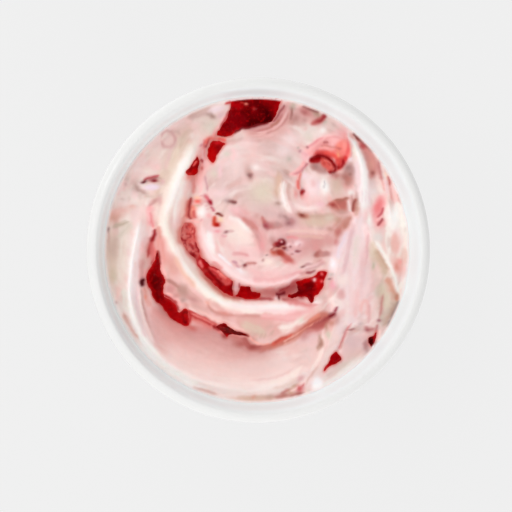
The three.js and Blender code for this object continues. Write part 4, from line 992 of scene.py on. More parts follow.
    pull((252, 228, 206), 0.9, 0.4, [44.7, 27.6, 45.2, 25.6, 45.6, 24], 0.2)
    pull((192, 90, 86), 0.9, 0.6, [45.6, 26, 46, 23.8, 46.3, 21.6], (0.2, 0.3))
    pull((232, 160, 154), 0.85, 0.5, [46.2, 22.6, 46.6, 19.6, 47.2, 16.8, 47.3, 13.6], (0.2, 0.4))
    fill((250, 206, 200), 0.8, 0.6, [47.4, 20.6, 48.8, 19.4, 49.8, 17, 48.8, 16.4, 47.6, 17])
    pull((184, 128, 118), 0.9, 0.35, [48.7, 19.6, 49.6, 17.6, 50.2, 15.4], (0.1, 0.3))
    pull((236, 188, 184), 0.8, 0.4, [46.3, 22.6, 46.7, 20, 47.2, 17.6], (0.2, 0.3))
    pull((250, 214, 214), 0.8, 0.6, [44.6, 25, 45, 21.6, 45.6, 18], (0.2, 0.3))
    pull((200, 132, 126), 0.85, (0.35, 0.4), [48.6, 19.8, 49.4, 17.8, 50, 15.8], 0.3)
    pull((226, 206, 200), 0.8, 0.4, [46.5, 18, 47.2, 15.6, 47.4, 13], 0.2)
    dabs((246, 176, 176, 0.95, 42.2, 14.4, 2.3, 4.8, -16, 4),
        (242, 132, 134, 0.95, 42.3, 15, 1.6, 3.2, -20, 3))
    pull((200, 80, 90), 0.9, (0.45, 0.5), [44.2, 15, 43.4, 12.8, 42.5, 11.7, 41.3, 10.9], 0.2)
    dab((252, 170, 168), 0.9, 42.8, 9.4, 1.9, 1.9, 30, 3)
    pull((176, 76, 82), 0.95, 0.5, [44, 10.9, 42.9, 9.3, 41.5, 8.1], 0.2)
    pull((255, 206, 206), 0.8, 0.35, [43.9, 12.2, 42.8, 10.8, 41, 9.6], 0.2)
    dabs((236, 228, 222, 0.9, 42, 4, 2, 2, 0, 3), (252, 250, 244, 0.9, 38.9, 10, 1, 2.6),
        (255, 254, 250, 1, 47.8, 11, 2.1, 4.8, 0, 3), (248, 248, 238, 0.9, 51.2, 9, 1.4, 5, 4, 3),
        (226, 214, 204, 0.7, 51.8, 6.8, 0.5, 0.9), (240, 192, 182, 0.95, 48.2, 2, 1.7, 3.6, 0, 5),
        (238, 206, 194, 0.9, 51.3, -2.4, 1.3, 3, 0, 4), (242, 182, 172, 0.95, 49.2, -6, 2, 3.2, 10, 3),
        (228, 148, 134, 0.85, 48.5, -6.2, 0.9, 1.6, 10), (246, 162, 154, 0.8, 50, -4.4, 0.9, 0.9),
        (226, 210, 190, 0.95, 40.4, -1, 1.5, 4, 10, 3))
    # Painted shade along the trough beside the crest.
    pull((206, 186, 162), 0.95, (0.9, 1.3), [40.6, 0.6, 42.6, -3, 44.4, -7, 44.8, -10], (0.15, 0.2))
    pull((194, 160, 138), 0.85, (0.4, 0.6), [41.2, 0.4, 43, -2.8, 44.6, -5.6, 45.8, -8], 0.2)
    dab((184, 194, 168), 0.8, 40.8, -6, 0.5, 1.1)
    pull((214, 144, 122), 0.95, (0.6, 1), [45.2, -9.4, 46.4, -12, 47.4, -14.6, 48.4, -17], 0.2)
    pull((255, 250, 242), 1, (0.9, 0.6), [40.4, 3.4, 42, 1, 44.4, -2.9, 46.3, -6.6, 47.6, -9.6, 48.5, -12.6,
        49.4, -15.2, 50.2, -18], (0.1, 0.05))
    pull((218, 206, 184), 0.95, 1.5, [43, -12, 45, -17, 45.6, -22], 0.2)
    dab((214, 176, 158), 0.9, 47.4, -17, 0.7, 1.8, 6)
    pull((200, 128, 124), 0.9, (0.5, 0.6), [44.4, -15.6, 44, -19, 43.4, -22, 42.7, -25.4], (0.2, 0.3))
    dabs((156, 78, 92, 0.9, 42.6, -25.2, 0.8, 0.6), (190, 112, 90, 0.9, 48.6, -17.6, 0.5, 1.1, 16))
    # A thin line of painted shade along the wall, below the crest.
    pull((190, 160, 144), 0.85, (0.4, 1.3), [49, -18, 47.4, -21.6, 45.4, -25, 43.8, -27.6], (0.15, 0.2))
    pull((98, 68, 64), 1, 0.45, [49.7, -17.8, 48.8, -20.4, 47.6, -23, 46.3, -25.6, 44.8, -28.2], (0.1, 0.15))
    dab((186, 116, 94), 0.9, 49, -16.6, 0.7, 1.2, 16)
    pull((246, 222, 216), 0.9, 1.2, [41.6, -16, 41.2, -22, 40.8, -26.6], 0.2)

    # The quiet corner at the lower right, with a red line down to its small pool.
    dabs((228, 198, 197, 0.9, 33, -32.6, 3.2, 3.2, 0, 3), (230, 200, 190, 0.8, 34.4, -38, 3, 2.4),
        (226, 206, 190, 0.8, 30.4, -41.6, 4, 1.5, 34))
    pull((238, 234, 228), 0.95, (2, 1.4), [20, -49, 25, -46.8, 30, -43.8, 34, -40.6, 37.6, -37], (0.05, 0.2))
    pull((226, 142, 142), 0.95, 0.5, [33, -25.8, 32.1, -27, 31, -28.8, 30, -31, 29, -33.2,
        28.2, -35.6], (0.2, 0.1))
    pull((216, 170, 164), 0.8, 0.4, [30, -32, 29.4, -33.8, 28.8, -35.4])
    pull((255, 212, 206), 0.8, 0.3, [30.1, -29.6, 29, -32, 28, -34.6])
    pull((176, 106, 106), 0.85, (0.3, 0.35), [31.2, -28.4, 32.8, -28.4, 34.3, -27.9], 0.2)
    dab((204, 182, 182), 0.7, 36, -26.6, 1, 0.8)
    pull((200, 124, 124), 0.85, 0.8, [37, -27, 38.6, -28.4, 40, -28.4, 41.2, -27.6], 0.2)
    dab((184, 100, 104), 0.85, 38.5, -28.6, 0.8, 0.6, -30)
    pull((190, 106, 106), 0.85, (0.4, 0.5), [42.2, -26.4, 41.8, -27.8, 41.5, -29.4], (0.2, 0.05))
    # Painted shade beside the small dark pool at the edge.
    pull((196, 150, 150), 0.9, (1, 0.8), [37.4, -31.6, 37.8, -34, 38, -36.4], 0.2)
    dab((168, 120, 124), 0.8, 38.4, -35.9, 0.7, 0.6)
    pull((252, 222, 214), 0.95, 0.6, [42.8, -28, 42.4, -31, 41.2, -33.8], 0.2)
    # The first dab is painted shade; the second, white, is a painted highlight.
    dabs((190, 134, 134, 0.8, 37.9, -34, 0.9, 2), (255, 238, 236, 1, 28.4, -36.2, 0.5, 0.45))
    pull((255, 202, 198), 0.9, 0.4, [27.6, -36, 29.2, -37.6, 29.9, -39.4], 0.2)

    # Between the ridge and the flap's edge: folded sheets, pink with a dusky line along them.
    pull((246, 206, 200), 0.9, (1.2, 1.6), [-27, -8.6, -22.6, -14.4, -17.6, -19, -12, -21.6,
        -4, -22.6], 0.15)
    pull((236, 194, 186), 0.9, 0.8, [-18.8, -16.8, -15.2, -19.5, -11, -21.3], (0.2, 0.3))
    pull((222, 146, 136), 0.8, (0.6, 0.7), [-15.6, -21.6, -12, -22.6, -8, -23], 0.2)
    pull((214, 150, 142), 0.9, (0.5, 0.9), [-18, -18.6, -17.4, -19.8, -15.8, -21.4, -13.6, -22.4, -9, -22.9,
        -3, -23, 3, -23.2], (0.05, 0.2))
    dabs((236, 172, 152, 0.8, -17.8, -18.6, 0.9, 0.5, -40), (206, 150, 140, 0.8, -16.6, -21, 0.8, 0.4, -40))
    pull((246, 192, 190), 1, (1, 1.2), [0, -23, 6, -23.2, 11, -23.4, 16, -22.4, 20, -20.6], streak=0.5)
    pull((255, 226, 224), 0.8, 0.5, [4, -22, 9, -22.2, 14, -21.8])
    pull((238, 166, 164), 0.8, 0.4, [0, -24, 5, -24.2, 10, -24.8, 14, -24.4])
    pull((224, 206, 186), 0.9, (1.7, 2), [-7, -25.2, -3, -27, 1, -29, 3.4, -31], 0.2)
    dab((218, 178, 168), 0.8, 3.6, -27.2, 1.4, 1, 20)
    for line_x, line_y in ((0.9, -30.4), (2.2, -30.3), (3.6, -30.2), (4.8, -29.4)):
        pull((212, 174, 160), 0.6, 0.5, [
            line_x + 0.7, line_y + 1.4, line_x, line_y, line_x - 0.7, line_y - 1.2], 0.3)
    pull((250, 236, 228), 1, (1.5, 1.7), [6, -27.2, 9.4, -27.4, 13.2, -26.2, 17, -23.8, 19, -22])
    dab((222, 214, 198), 0.7, 15, -24.6, 1.4, 0.8, 30)
    pull((250, 206, 198), 0.9, (0.6, 0.5), [-28, -19.4, -24.4, -19.6, -19, -22.2, -14.4, -24.8, -9, -27.2,
        -4, -28.8])
    pull((185, 122, 114), 0.9, (0.7, 1), [-32.6, -10.4, -30, -11.4, -28, -12.8, -26.6, -15])
    dabs((212, 146, 144, 0.95, -31, -13.8, 1.8, 1.8, 0, 3),
        (192, 148, 138, 0.95, -26.4, -14.4, 2, 2.6, 20, 3),
        (204, 148, 144, 0.9, -22.8, -17.2, 2.6, 1.6, -20), (184, 140, 134, 0.8, -26.6, -17.6, 1.4, 1, 30))
    pull((224, 176, 166), 0.8, (0.4, 0.5), [-25, -13, -22, -16.4, -19.4, -18.6])
    dabs((214, 168, 160, 0.7, -22, -20, 3, 0.9, -20), (226, 168, 158, 0.95, -30, -5.6, 2.6, 4.4, 20, 3))
    pull((240, 196, 178), 0.8, 1, [-29.4, -2, -26.4, -8, -22, -13.4])
    pull((228, 150, 146), 0.9, (1, 2.6), [-24.4, -24, -19.4, -25.6, -14.4, -27.8], (0.1, 0.2), streak=0.2)
    pull((214, 96, 90), 1, (0.8, 1.6), [-25, -21.8, -21, -23.6, -17.4, -25.2, -13.6, -27.4], (0.05, 0.1))
    pull((196, 60, 58), 0.9, (0.35, 0.4), [-25, -20.9, -21.6, -22.5, -18, -24.1, -14.2, -26.3], 0.05)
    pull((240, 150, 144), 0.9, (0.3, 0.35), [-23.4, -22.4, -20, -23.8, -16.4, -25.6])
    pull((178, 46, 46), 0.8, (0.3, 0.35), [-24, -22.6, -21.6, -23.9, -19.2, -24.9, -16, -26.6])
    pull((226, 130, 124), 0.8, 0.3, [-23.6, -24.2, -20.6, -25.2, -17.4, -26.6])
    pull((235, 132, 130), 0.95, (0.4, 0.5), [-15.2, -27.2, -13.4, -28.8, -12.4, -29.8, -12, -31])
    # Painted shadow under the flap's tip and its pool, darkest just below the tip.
    pull((206, 126, 120), 0.9, (1, 2), [-11, -30.6, -7.6, -30.6, -4.4, -32, -1.6, -34.2,
        3, -35], (0.15, 0.3))
    pull((178, 88, 84), 0.9, (0.7, 1.1), [-6.4, -30.8, -4.4, -31.6, -3.6, -33.2, -1, -34.3, 3, -34,
        7, -33.2], (0.15, 0.2))
    dabs((164, 72, 68, 0.8, -1.8, -34.3, 1.6, 0.7), (204, 132, 126, 0.9, -1.9, -31.6, 0.7, 1.2, 30))
    pull((255, 190, 176), 1, (0.35, 0.4), [-3.3, -29.9, -2.4, -31.4, -0.8, -32.8, 1, -33.3, 3, -33.2,
        4.6, -32.6], 0.15)
    fill((212, 128, 114), 1, 0.9, [2, -34, 5, -32.8, 8, -30.6, 12, -29, 15, -26.6, 18, -24, 21, -22.2,
        23.6, -22, 25.2, -23.2, 25, -25, 23, -27.6, 19, -28.6, 16.4, -29.4, 13.4, -31.6, 9, -33.8, 5, -35,
        2, -35])
    fill((194, 100, 96), 1, 0.8, [15.4, -28, 18, -26.4, 21, -24.8, 24.4, -23.8, 24.6, -25.4, 22.4, -27.8,
        18.6, -28.2])
    pull((222, 94, 78), 1, (0.7, 0.8), [4.4, -33.8, 7, -32.2, 10, -31, 13, -29.6], (0.1, 0.15))
    pull((190, 72, 64), 0.9, (0.3, 0.4), [5.4, -33, 8, -31.4, 10.6, -30.4])
    pull((230, 140, 120), 0.95, (0.8, 0.6), [17, -26, 19.4, -24, 22, -22.6], 0.15)
    pull((196, 100, 86), 0.95, (0.35, 0.4), [13.4, -29, 16.4, -27, 19.4, -25, 22.4, -23.6], 0.15)
    pull((240, 170, 152), 0.9, (0.25, 0.3), [11, -30.8, 14, -29.1, 17.4, -27.2, 20.4, -25.6, 23, -24.6])
    for drop in (0, 1):
        pull((240, 186, 172), 0.9, 0.35, [8.8, -32.6 - drop, 12, -30.8 - drop, 14.4, -29.2 - drop])
    pull((206, 116, 104), 0.9, 0.3, [9.8, -32.6, 12.4, -31.2, 14.6, -29.8])
    pull((176, 78, 80), 0.9, (0.4, 0.5), [18.6, -26.6, 21, -25.6, 23.6, -24.8], 0.2)
    pull((212, 132, 130), 0.9, (0.8, 1.2), [15.6, -29.6, 19.4, -28.8, 23, -27.4], 0.2)
    pull((240, 196, 188), 0.9, 0.8, [15, -25, 18.6, -22.6, 22, -21], 0.2)
    pull((236, 206, 204), 0.8, (1, 1.6), [12.6, -33, 17, -31.4, 22, -30], 0.2)
    pull((110, 4, 16), 1, (0.9, 0.7), [24.2, -24.3, 25.4, -23.7, 26.6, -22.8, 27, -21.6], 0.2)
    pull((150, 50, 66), 0.95, 0.45, [26.4, -22.4, 27.1, -21, 27.4, -19.6], (0.05, 0.3))
    pull((166, 66, 68), 0.9, (0.6, 0.7), [22.4, -25.2, 24, -24.7, 25.4, -24.2])
    dabs((204, 136, 120, 0.85, 25.6, -25.9, 1.2, 1, 30), (196, 140, 122, 0.8, 23.9, -27.2, 0.6, 1.2))

    # The outer groove, stained round its pool, and the hook of pink above it.
    pull((232, 158, 150), 0.95, (2.2, 1), [-35.6, 6, -34.6, 2.4, -33.6, -3, -32.8, -7], (0.1, 0.2))
    pull((255, 196, 190), 0.95, (0.5, 0.6), [-34, -3, -33.4, -6.6, -31.8, -9.6])
    pull((248, 180, 180), 0.95, 1.3, [-37, 16.4, -38, 13.6, -37.6, 10.6, -36.6, 7.6], 0.15, 2.4, 0.2)
    pull((250, 226, 222), 0.9, (1.4, 1.2), [-40.4, 15.4, -41, 12, -40, 8.4], 0.2)
    pull((202, 138, 134), 0.9, (0.6, 0.9), [-33.6, 17.7, -35.4, 17, -37.2, 16, -38.4, 14.8], 0.15)
    pull((208, 158, 150), 0.9, (0.7, 0.5), [-34.2, 17.4, -34.3, 14.6, -35, 11, -35.4, 8], (0.1, 0.2))
    pull((232, 146, 148), 0.9, (0.4, 0.5), [-37.4, 13.6, -37, 10.4, -36.4, 7.4])
    pull((255, 206, 204), 0.8, 0.4, [-37.9, 14, -38.1, 12, -37.6, 9.4])
    dab((236, 140, 134), 0.9, -36.6, -1.4, 1.7, 3.4, 8)
    pull((188, 74, 72), 1, (0.9, 0.8), [-36.4, 5, -37.4, 1.4, -38.1, -1.6, -38.4, -3.4], (0.05, 0.3))
    pull((142, 14, 22), 1, 0.55, [-35.8, 7.6, -36, 5.6, -36.7, 3.8, -37.3, 2], (0.1, 0.3), streak=0)
    pull((196, 70, 70), 0.9, 0.5, [-35.6, -2, -36.2, -3.8, -37.2, -5.4])
    pull((214, 150, 146), 0.95, (1.1, 1), [-39.8, -3, -40.8, -7, -40.4, -12], 0.2)
    pull((226, 160, 148), 0.9, 1, [-39.4, -12.6, -38.8, -17, -36.6, -20.6], (0.1, 0.2))
    pull((234, 148, 128), 0.8, (0.7, 0.5), [-39.4, -15.4, -39, -18])
    pull((246, 180, 176), 0.9, 0.7, [-38.6, -6, -39.4, -9.4, -38.6, -13.6], 0.2)
    pull((226, 162, 156), 0.8, (1.2, 1.6), [-37, -19.4, -33.6, -23, -29, -27, -25, -28.6], 0.2)
    pull((255, 190, 184), 0.95, 0.5, [-32.4, -15, -30.2, -16, -27.9, -17.9, -27.2, -20])
    dabs((160, 96, 96, 0.8, -40.2, -11.3, 1.2, 1.9, 6, 3), (74, 4, 12, 1, -40.5, -11.5, 0.75, 1.3, 6, 4),
        (74, 4, 12, 1, -40, -10.7, 0.6, 0.6, 0, 4))

    # The ridge along the wall on the left and below, white with fine pink lines.
    pull((246, 222, 222), 0.95, (1.2, 1.4), [-41.4, 2, -43, -7, -43, -17, -41.2, -25,
        -37.4, -32.6], (0.1, 0.2))
    pull((255, 252, 250), 1, (1.3, 1.1), [-39.6, 13, -40.6, 8, -41.8, 4, -43.4, -2, -44.4, -9, -44.5, -17,
        -43.6, -23, -41.4, -29, -37.8, -35, -33.6, -40, -28, -44.4, -21, -47.4], (0.08, 0.2), 2.4, 0.1)
    # Painted light: near-white laid over the lower-left stretch, offsetting the shadow that the rim casts
    # there.
    pull((255, 252, 246), 0.95, (1.8, 1.6), [-44.2, -16, -43.8, -20, -42.4, -25, -40.2, -30, -37, -35,
        -33.2, -39.4], 0.2, 3)
    fill((255, 246, 240), 0.85, 1, [-41.6, -32, -38.4, -34, -33.4, -39, -28, -42.6, -23, -45, -22, -47.6,
        -27, -46, -33, -42.4, -38, -37.6])
    pull((255, 253, 248), 0.9, (2, 1.8), [-42.6, -28.6, -40.4, -32.6, -37.4, -36.6, -33.4, -40.6,
        -28.4, -44.4, -22.4, -47.6, -15, -50], (0.2, 0.3), 3)
    dab((255, 250, 247), 1, -41.4, 4, 2.6, 6.4, -10, 3)
    pull((226, 188, 182), 0.9, (0.4, 0.5), [-42.8, -4, -42.8, -10])
    pull((240, 206, 208), 0.9, 0.4, [-42.2, -14, -42.1, -20, -40.8, -26, -39, -31])
    pull((255, 238, 233), 1, 0.5, [-41.3, -14, -40.7, -19.6, -39.4, -24.4, -38, -28.6, -36, -33])
    pull((216, 172, 164), 0.9, (0.35, 0.45), [-40.5, -13, -40, -19, -38.7, -24, -37.2, -28])
    pull((252, 228, 222), 0.85, 0.7, [-40.7, -20, -39.9, -24.4, -38.6, -28.4], 0.2)
    pull((248, 212, 208), 0.9, 0.6, [-38.6, -22, -36.8, -28, -33.8, -33], 0.2)
    pull((222, 172, 158), 0.9, (0.6, 0.8), [-46.9, -21.6, -46, -24.4, -44, -27.8, -41.2, -31.8], (0.15, 0.2))
    pull((180, 138, 128), 0.8, (0.3, 0.35), [-48.4, -21.6, -46.4, -25.4, -43.8, -29.2, -40.6, -33.2])
    pull((252, 238, 232), 0.95, 0.5, [-49, -20, -47, -24.6, -44.4, -28.6, -40, -34])
    dabs((252, 214, 206, 0.9, -48.6, -15, 1, 2.8, -6, 3), (206, 166, 160, 0.9, -49.4, -18.3, 0.5, 0.6))
    pull((240, 244, 232), 0.8, 1.2, [-46.6, -13, -46.4, -18, -45.4, -22], 0.2)
    pull((246, 230, 220), 0.8, 1, [-38, -38, -31, -44, -24, -48], 0.2)
    pull((214, 176, 166), 0.8, 0.6, [-24, -48.2, -19, -49.4, -14, -50.8], 0.15)

    # The flat along the wall above it: beige hollows, darkened with painted shade where the wall shades
    # them, and a small fold with a dark slit.
    # Painted shade along the wall: the beige and brownish dabs and lines that follow.
    dabs((232, 214, 196, 0.9, -50.2, -3, 2.4, 10, 4, 3), (214, 188, 174, 0.9, -49.2, 0.6, 3.2, 4.2, 0, 3),
        (224, 208, 186, 0.9, -50.4, -8.8, 1.5, 2.8, 0, 3), (210, 178, 168, 0.8, -52, 5, 0.5, 3.6),
        (222, 168, 152, 0.95, -50, 11.6, 2.6, 2.1, 10, 2.4), (242, 198, 188, 0.9, -47.6, 13.4, 3.4, 1.4, 14),
        (238, 190, 178, 0.8, -44, 15, 1.6, 0.7, -10))
    pull((202, 184, 164), 0.9, (1, 0.9), [-51, 8, -48, 8.4, -44.6, 10], (0.15, 0.2))
    pull((226, 214, 198), 0.8, 1.4, [-50, 4, -46.4, 6.4, -43.6, 10], 0.2)
    dabs((140, 104, 104, 0.9, -52, 7.2, 0.35, 0.9), (250, 226, 220, 0.9, -46.4, 16, 2.6, 0.9, 6),
        (249, 218, 212, 0.8, -40.2, 11.6, 1.6, 3.6, 0, 3))
    pull((244, 232, 220), 0.9, 1.6, [-46.6, 6, -47.2, -2, -47.6, -12], 0.2)
    dabs((246, 218, 214, 0.95, -40.4, 30, 1.5, 4.4, -14, 3),
        (250, 230, 226, 0.9, -42.4, 28.4, 1.4, 2.8, -20), (249, 210, 206, 0.9, -35.6, 28.6, 2.2, 1.4, 10, 3),
        (249, 234, 224, 0.9, -38.6, 27.2, 2, 1.6), (244, 224, 214, 0.8, -35.6, 33, 3, 3))
    pull((234, 204, 198), 0.9, 1, [-28.6, 38, -31, 33, -32, 27], 0.2)
    pull((238, 222, 204), 0.9, 1.2, [-27.2, 36, -29.4, 31, -31, 26], 0.2)
    pull((250, 234, 224), 0.9, (1.4, 1.6), [-31, 24, -32.6, 19, -34.2, 13, -34.4, 8], 0.2)
    pull((216, 166, 164), 0.8, 0.6, [-34, 38.6, -33, 40.8, -30.6, 41, -28.8, 38.8, -30, 36, -32.6, 35.8,
        -34, 38])
    dab((240, 212, 206), 0.9, -31.2, 38.4, 1.3, 1.6)
    pull((206, 168, 160), 0.6, (0.4, 0.5), [-32.4, 40.9, -29.6, 41.4, -26.4, 40.2])
    # Painted shade below the small fold.
    dab((208, 178, 170), 0.9, -42.5, 22.6, 1.7, 1.7)
    pull((190, 150, 142), 0.8, (0.8, 0.9), [-42.7, 22.8, -41.6, 21.2, -40, 20.4, -38.4, 19], 0.3)
    pull((226, 204, 192), 0.9, 0.8, [-39.8, 19.6, -37.6, 18.4, -35, 18.6, -32.6, 20], (0.2, 0.3))
    dabs((240, 224, 234, 1, -37, 21.7, 2.9, 1.2, 4, 4), (255, 240, 238, 1, -41, 23, 0.7, 0.45),
        (228, 192, 192, 0.9, -33.4, 23.5, 0.7, 0.9))
    pull((206, 108, 112), 0.95, 0.5, [-40.2, 24, -38, 24.9, -36, 25.3, -34.2, 25.8])
    pull((232, 150, 150), 0.9, 0.5, [-38.6, 24.3, -36.4, 24.5, -34.6, 24.6])
    dabs((112, 34, 44, 1, -39.8, 23.6, 1, 0.45, 16), (130, 24, 34, 1, -36.2, 24, 1.1, 0.5),
        (196, 164, 154, 0.8, -47.6, 17.5, 0.9, 0.4), (212, 178, 172, 0.8, -46, 22.8, 0.6, 0.8, 30),
        (214, 190, 182, 0.7, -45.6, 24.6, 0.7, 0.7))

    # The foot of the scoop, along the wall at the bottom.
    pull((238, 206, 200), 0.7, (0.35, 0.4), [-4, -46, 2, -45.8, 6.4, -45, 10.4, -43.4, 13.6, -41], 0.2)
    pull((254, 240, 230), 0.8, 0.6, [2, -47.2, 8, -46.2, 12.6, -43.8, 16.4, -40.4], 0.2)
    pull((232, 204, 190), 0.7, 0.5, [4.6, -49, 8.6, -48, 12.2, -46.4, 14.6, -44], 0.2)
    dabs((218, 188, 168, 0.9, -2, -52.2, 7, 1.1, 0, 3), (226, 164, 144, 0.8, -1.6, -51.7, 1.1, 0.7),
        (204, 166, 150, 0.9, 4, -52, 2, 1.1, 8), (190, 130, 120, 0.9, 8.8, -51, 2.2, 0.9, 14))
    pull((190, 102, 96), 0.9, 0.5, [7.4, -50.9, 9.4, -49.8, 10.8, -49.2, 12.4, -48.9], (0.25, 0.3))
    dabs((210, 172, 148, 0.9, 12.8, -48.2, 1.7, 0.6, 24), (206, 158, 134, 0.9, 11.6, -50.2, 1.1, 0.7),
        (208, 92, 96, 0.95, 14.6, -49.2, 1.5, 1.2, 30), (206, 108, 108, 0.9, 15.8, -47.9, 0.9, 0.4, 40),
        (160, 82, 82, 0.9, 14.4, -50.7, 1.2, 0.3, 8))
    pull((255, 232, 226), 0.8, 0.3, [11, -49.8, 12.8, -49.4, 14, -48.6], 0.2)
    pull((176, 100, 92), 0.9, 0.5, [4.6, -52.2, 8.4, -51.6, 12.6, -51, 16.4, -50.3], 0.2)
    dab((238, 194, 194), 0.9, 15, -45.4, 1.5, 1.2, 30, 3)
    pull((224, 190, 180), 0.8, (0.4, 0.5), [21.4, -40.6, 19.4, -43.6, 17.6, -46, 16.8, -48], 0.2)
    # The white dab at 20.8, -47.3 is a painted highlight.
    dabs((218, 212, 202, 0.8, 17.8, -49.6, 0.9, 0.5), (255, 255, 255, 1, 20.8, -47.3, 2.1, 2.5, 0, 4))

    # The red shores of the pools, and the last small marks over everything else.
    for outline in pools.values():
        fill((226, 120, 114), 0.9, 0.7, outline)
    pull((222, 140, 130), 0.8, 0.6, [-26.6, 8.6, -27.7, 5.4, -27, 1.6, -25, -1.8, -22.8, -4.4])
    fill((118, 6, 14), 1, 0.4, [-10, 40.2, -8.6, 40.6, -6, 41.5, -3, 42.3, 0, 43, 3.4, 44, 3, 45, -2, 44.2,
        -6, 43.6, -9, 42])
    pull((186, 52, 56), 0.9, (0.4, 0.45), [-10, 48.4, -11, 46.4, -12.2, 44.2, -13.4, 42.2], (0.1, 0.2))
    pull((228, 142, 140), 0.85, (1, 0.9), [8.6, -18.2, 12.4, -18.8, 15.6, -19.2, 18.6, -19.8,
        21.4, -19.2], (0.2, 0.3))
    pull((196, 84, 86), 0.8, 0.8, [11, -12.4, 13, -11.2, 15, -10.4], 0.2)
    pull((160, 12, 18), 0.95, (0.4, 0.5), [-33, -15.6, -32, -16.4, -30.2, -17.1, -28.7, -18.6, -28, -20.6,
        -27.2, -21.6])
    pull((254, 240, 232), 1, (1.6, 1.3), [-28.4, 3, -27.6, 0.6, -26.4, -1.8, -24.8, -3.8, -23.4, -5.2,
        -22.2, -7, -20.8, -8.8], (0.2, 0.3), 3, 0.1)
    dabs((228, 120, 116, 0.85, -20.2, -5, 0.9, 1.8, 20, 3), (200, 70, 68, 0.7, -17.4, -8.2, 1.2, 0.7, -40))
    # Painted light on the ridge's inner slope, offsetting its shade.
    pull((254, 232, 222), 0.9, (0.8, 0.6), [-25.3, 19.4, -25.9, 17, -26.1, 14, -26.4, 11], (0.1, 0.2))
    pull((224, 158, 148), 0.9, (0.9, 0.7), [-35, 8.8, -34.6, 6, -33.9, 3.2], 0.2)
    pull((140, 26, 26), 0.95, (0.4, 0.5), [-35, -0.2, -34.7, -1.6, -34.4, -3.4, -33.9, -5.8], (0.1, 0.2))
    pull((150, 20, 24), 0.95, 0.6, [-16.2, -26.5, -14.8, -27.2, -13.2, -28.6], (0.2, 0.1))
    pull((212, 142, 134), 0.85, (0.8, 0.9), [-26.6, -18, -25.7, -19.4, -24.4, -20.6], 0.2)
    # Among these: painted shadow under the flap's pool (the first two), painted shade below the curl and in
    # the hollow beside its mound (at 27.2, 25.8, at 30.4, 25.4 and at 19, 28.4), and painted light on the
    # ridge's flank (at -39.8, 6).
    dabs((182, 96, 90, 0.8, -6.2, -33.2, 2, 1.2), (158, 58, 56, 0.8, -11.8, -30.5, 1.2, 0.8, -30),
        (202, 124, 120, 0.8, 27.2, 25.8, 1.7, 1.1), (190, 122, 114, 0.8, 30.4, 25.4, 1.4, 1.4),
        (186, 128, 124, 0.7, 19, 28.4, 0.9, 1), (204, 132, 130, 0.7, 16.4, -30.5, 1.6, 1.2, 30),
        (212, 156, 150, 0.7, -0.8, 11.6, 1.4, 1.2), (186, 138, 136, 0.7, 41.4, -33.4, 0.8, 1.4),
        (254, 244, 240, 0.8, -39.8, 6, 1.2, 1.8), (246, 232, 226, 0.8, -23, 39.6, 1.4, 1.2))
    pull((250, 226, 220), 0.8, 0.8, [-40, -24, -38.4, -28, -36.6, -31.4], 0.2)
    dabs((246, 228, 222, 0.8, -48.2, 17.4, 1.3, 1.2), (222, 116, 114, 0.85, -36.7, -0.6, 1, 3.4, 8, 3),
        (252, 208, 206, 0.85, -40.2, 0.8, 0.9, 2.6, -6))
    pull((254, 240, 238), 0.75, (1, 0.9), [-42.2, 3, -43, -3, -43.2, -11, -42.6, -19, -40.8, -26,
        -38.2, -31.6], (0.1, 0.2))
    pull((222, 138, 134), 0.7, 0.7, [-16.6, -4, -14.6, -5.3, -12.4, -6.9], 0.2)
    dabs((246, 160, 152, 0.8, -14.8, 39.8, 0.9, 1.4), (190, 148, 146, 0.7, 7.8, 11.6, 1.2, 1.1),
        (204, 104, 98, 0.8, -23, -27.5, 1.7, 0.9, -20), (216, 148, 140, 0.8, 33, 39.6, 0.9, 1.5, 40),
        (184, 104, 102, 0.7, 16.2, 48, 1.4, 1), (222, 150, 142, 0.7, 13.4, -27.6, 1.7, 1, 24),
        (202, 142, 136, 0.7, 27.4, -24.8, 1, 1.6), (204, 88, 84, 0.7, -22.4, 11.8, 0.7, 1.4),
        (246, 176, 174, 0.8, -17.2, 11.6, 1.1, 1.3), (242, 178, 176, 0.8, 13.4, -22.2, 3, 1, 6),
        (150, 30, 34, 0.8, 15.4, -16.9, 1.3, 0.7, 10), (206, 140, 136, 0.8, -28.8, -16, 1.2, 1),
        (198, 138, 134, 0.7, 5, 3.2, 1.4, 1.2), (206, 120, 112, 0.8, 2.2, -35.6, 1.9, 0.9, 20),
        (176, 118, 120, 0.7, 10.6, 8.8, 1.2, 1), (230, 180, 172, 0.7, -14.6, -19.4, 1.8, 0.9, -36),
        (222, 144, 134, 0.8, -12, -22.2, 1.9, 0.8, -18), (196, 164, 160, 0.8, 38.8, -36, 0.9, 1.6, -40),
        (200, 146, 140, 0.7, 16.2, 45.2, 1.3, 1.1), (220, 172, 168, 0.8, -34.4, 17.2, 1, 1.6))
    fill((202, 96, 94), 0.8, 0.6, [23.8, 47, 22.4, 46.9, 20.6, 45.8, 18.4, 43.8, 20, 43.3, 22, 44.2,
        23.6, 45.6])
    pull((156, 34, 44), 0.9, 0.4, [23.8, 46.9, 22.8, 45.9, 21.4, 45, 19.8, 44.4], (0.05, 0.4))
    pull((200, 44, 46), 0.9, (0.45, 0.5), [-9, 51.3, -10.4, 51, -11.8, 50.6], (0.05, 0.4))
    pull((176, 12, 16), 0.95, (0.5, 0.7), [-24.6, -20.8, -23.8, -22.4, -23.6, -24.4, -24.3, -26.4], 0.2)
    pull((104, 0, 4), 0.95, (0.35, 0.45), [-9, -28.7, -6.6, -29, -4.6, -29.5, -3.2, -30.5])
    pull((110, 0, 4), 0.95, (0.5, 0.6), [-10.6, -29.6, -11.1, -30.7])
    # A painted highlight round the edge, where the ice cream meets the bowl.
    canvas.painted_edge_highlight()


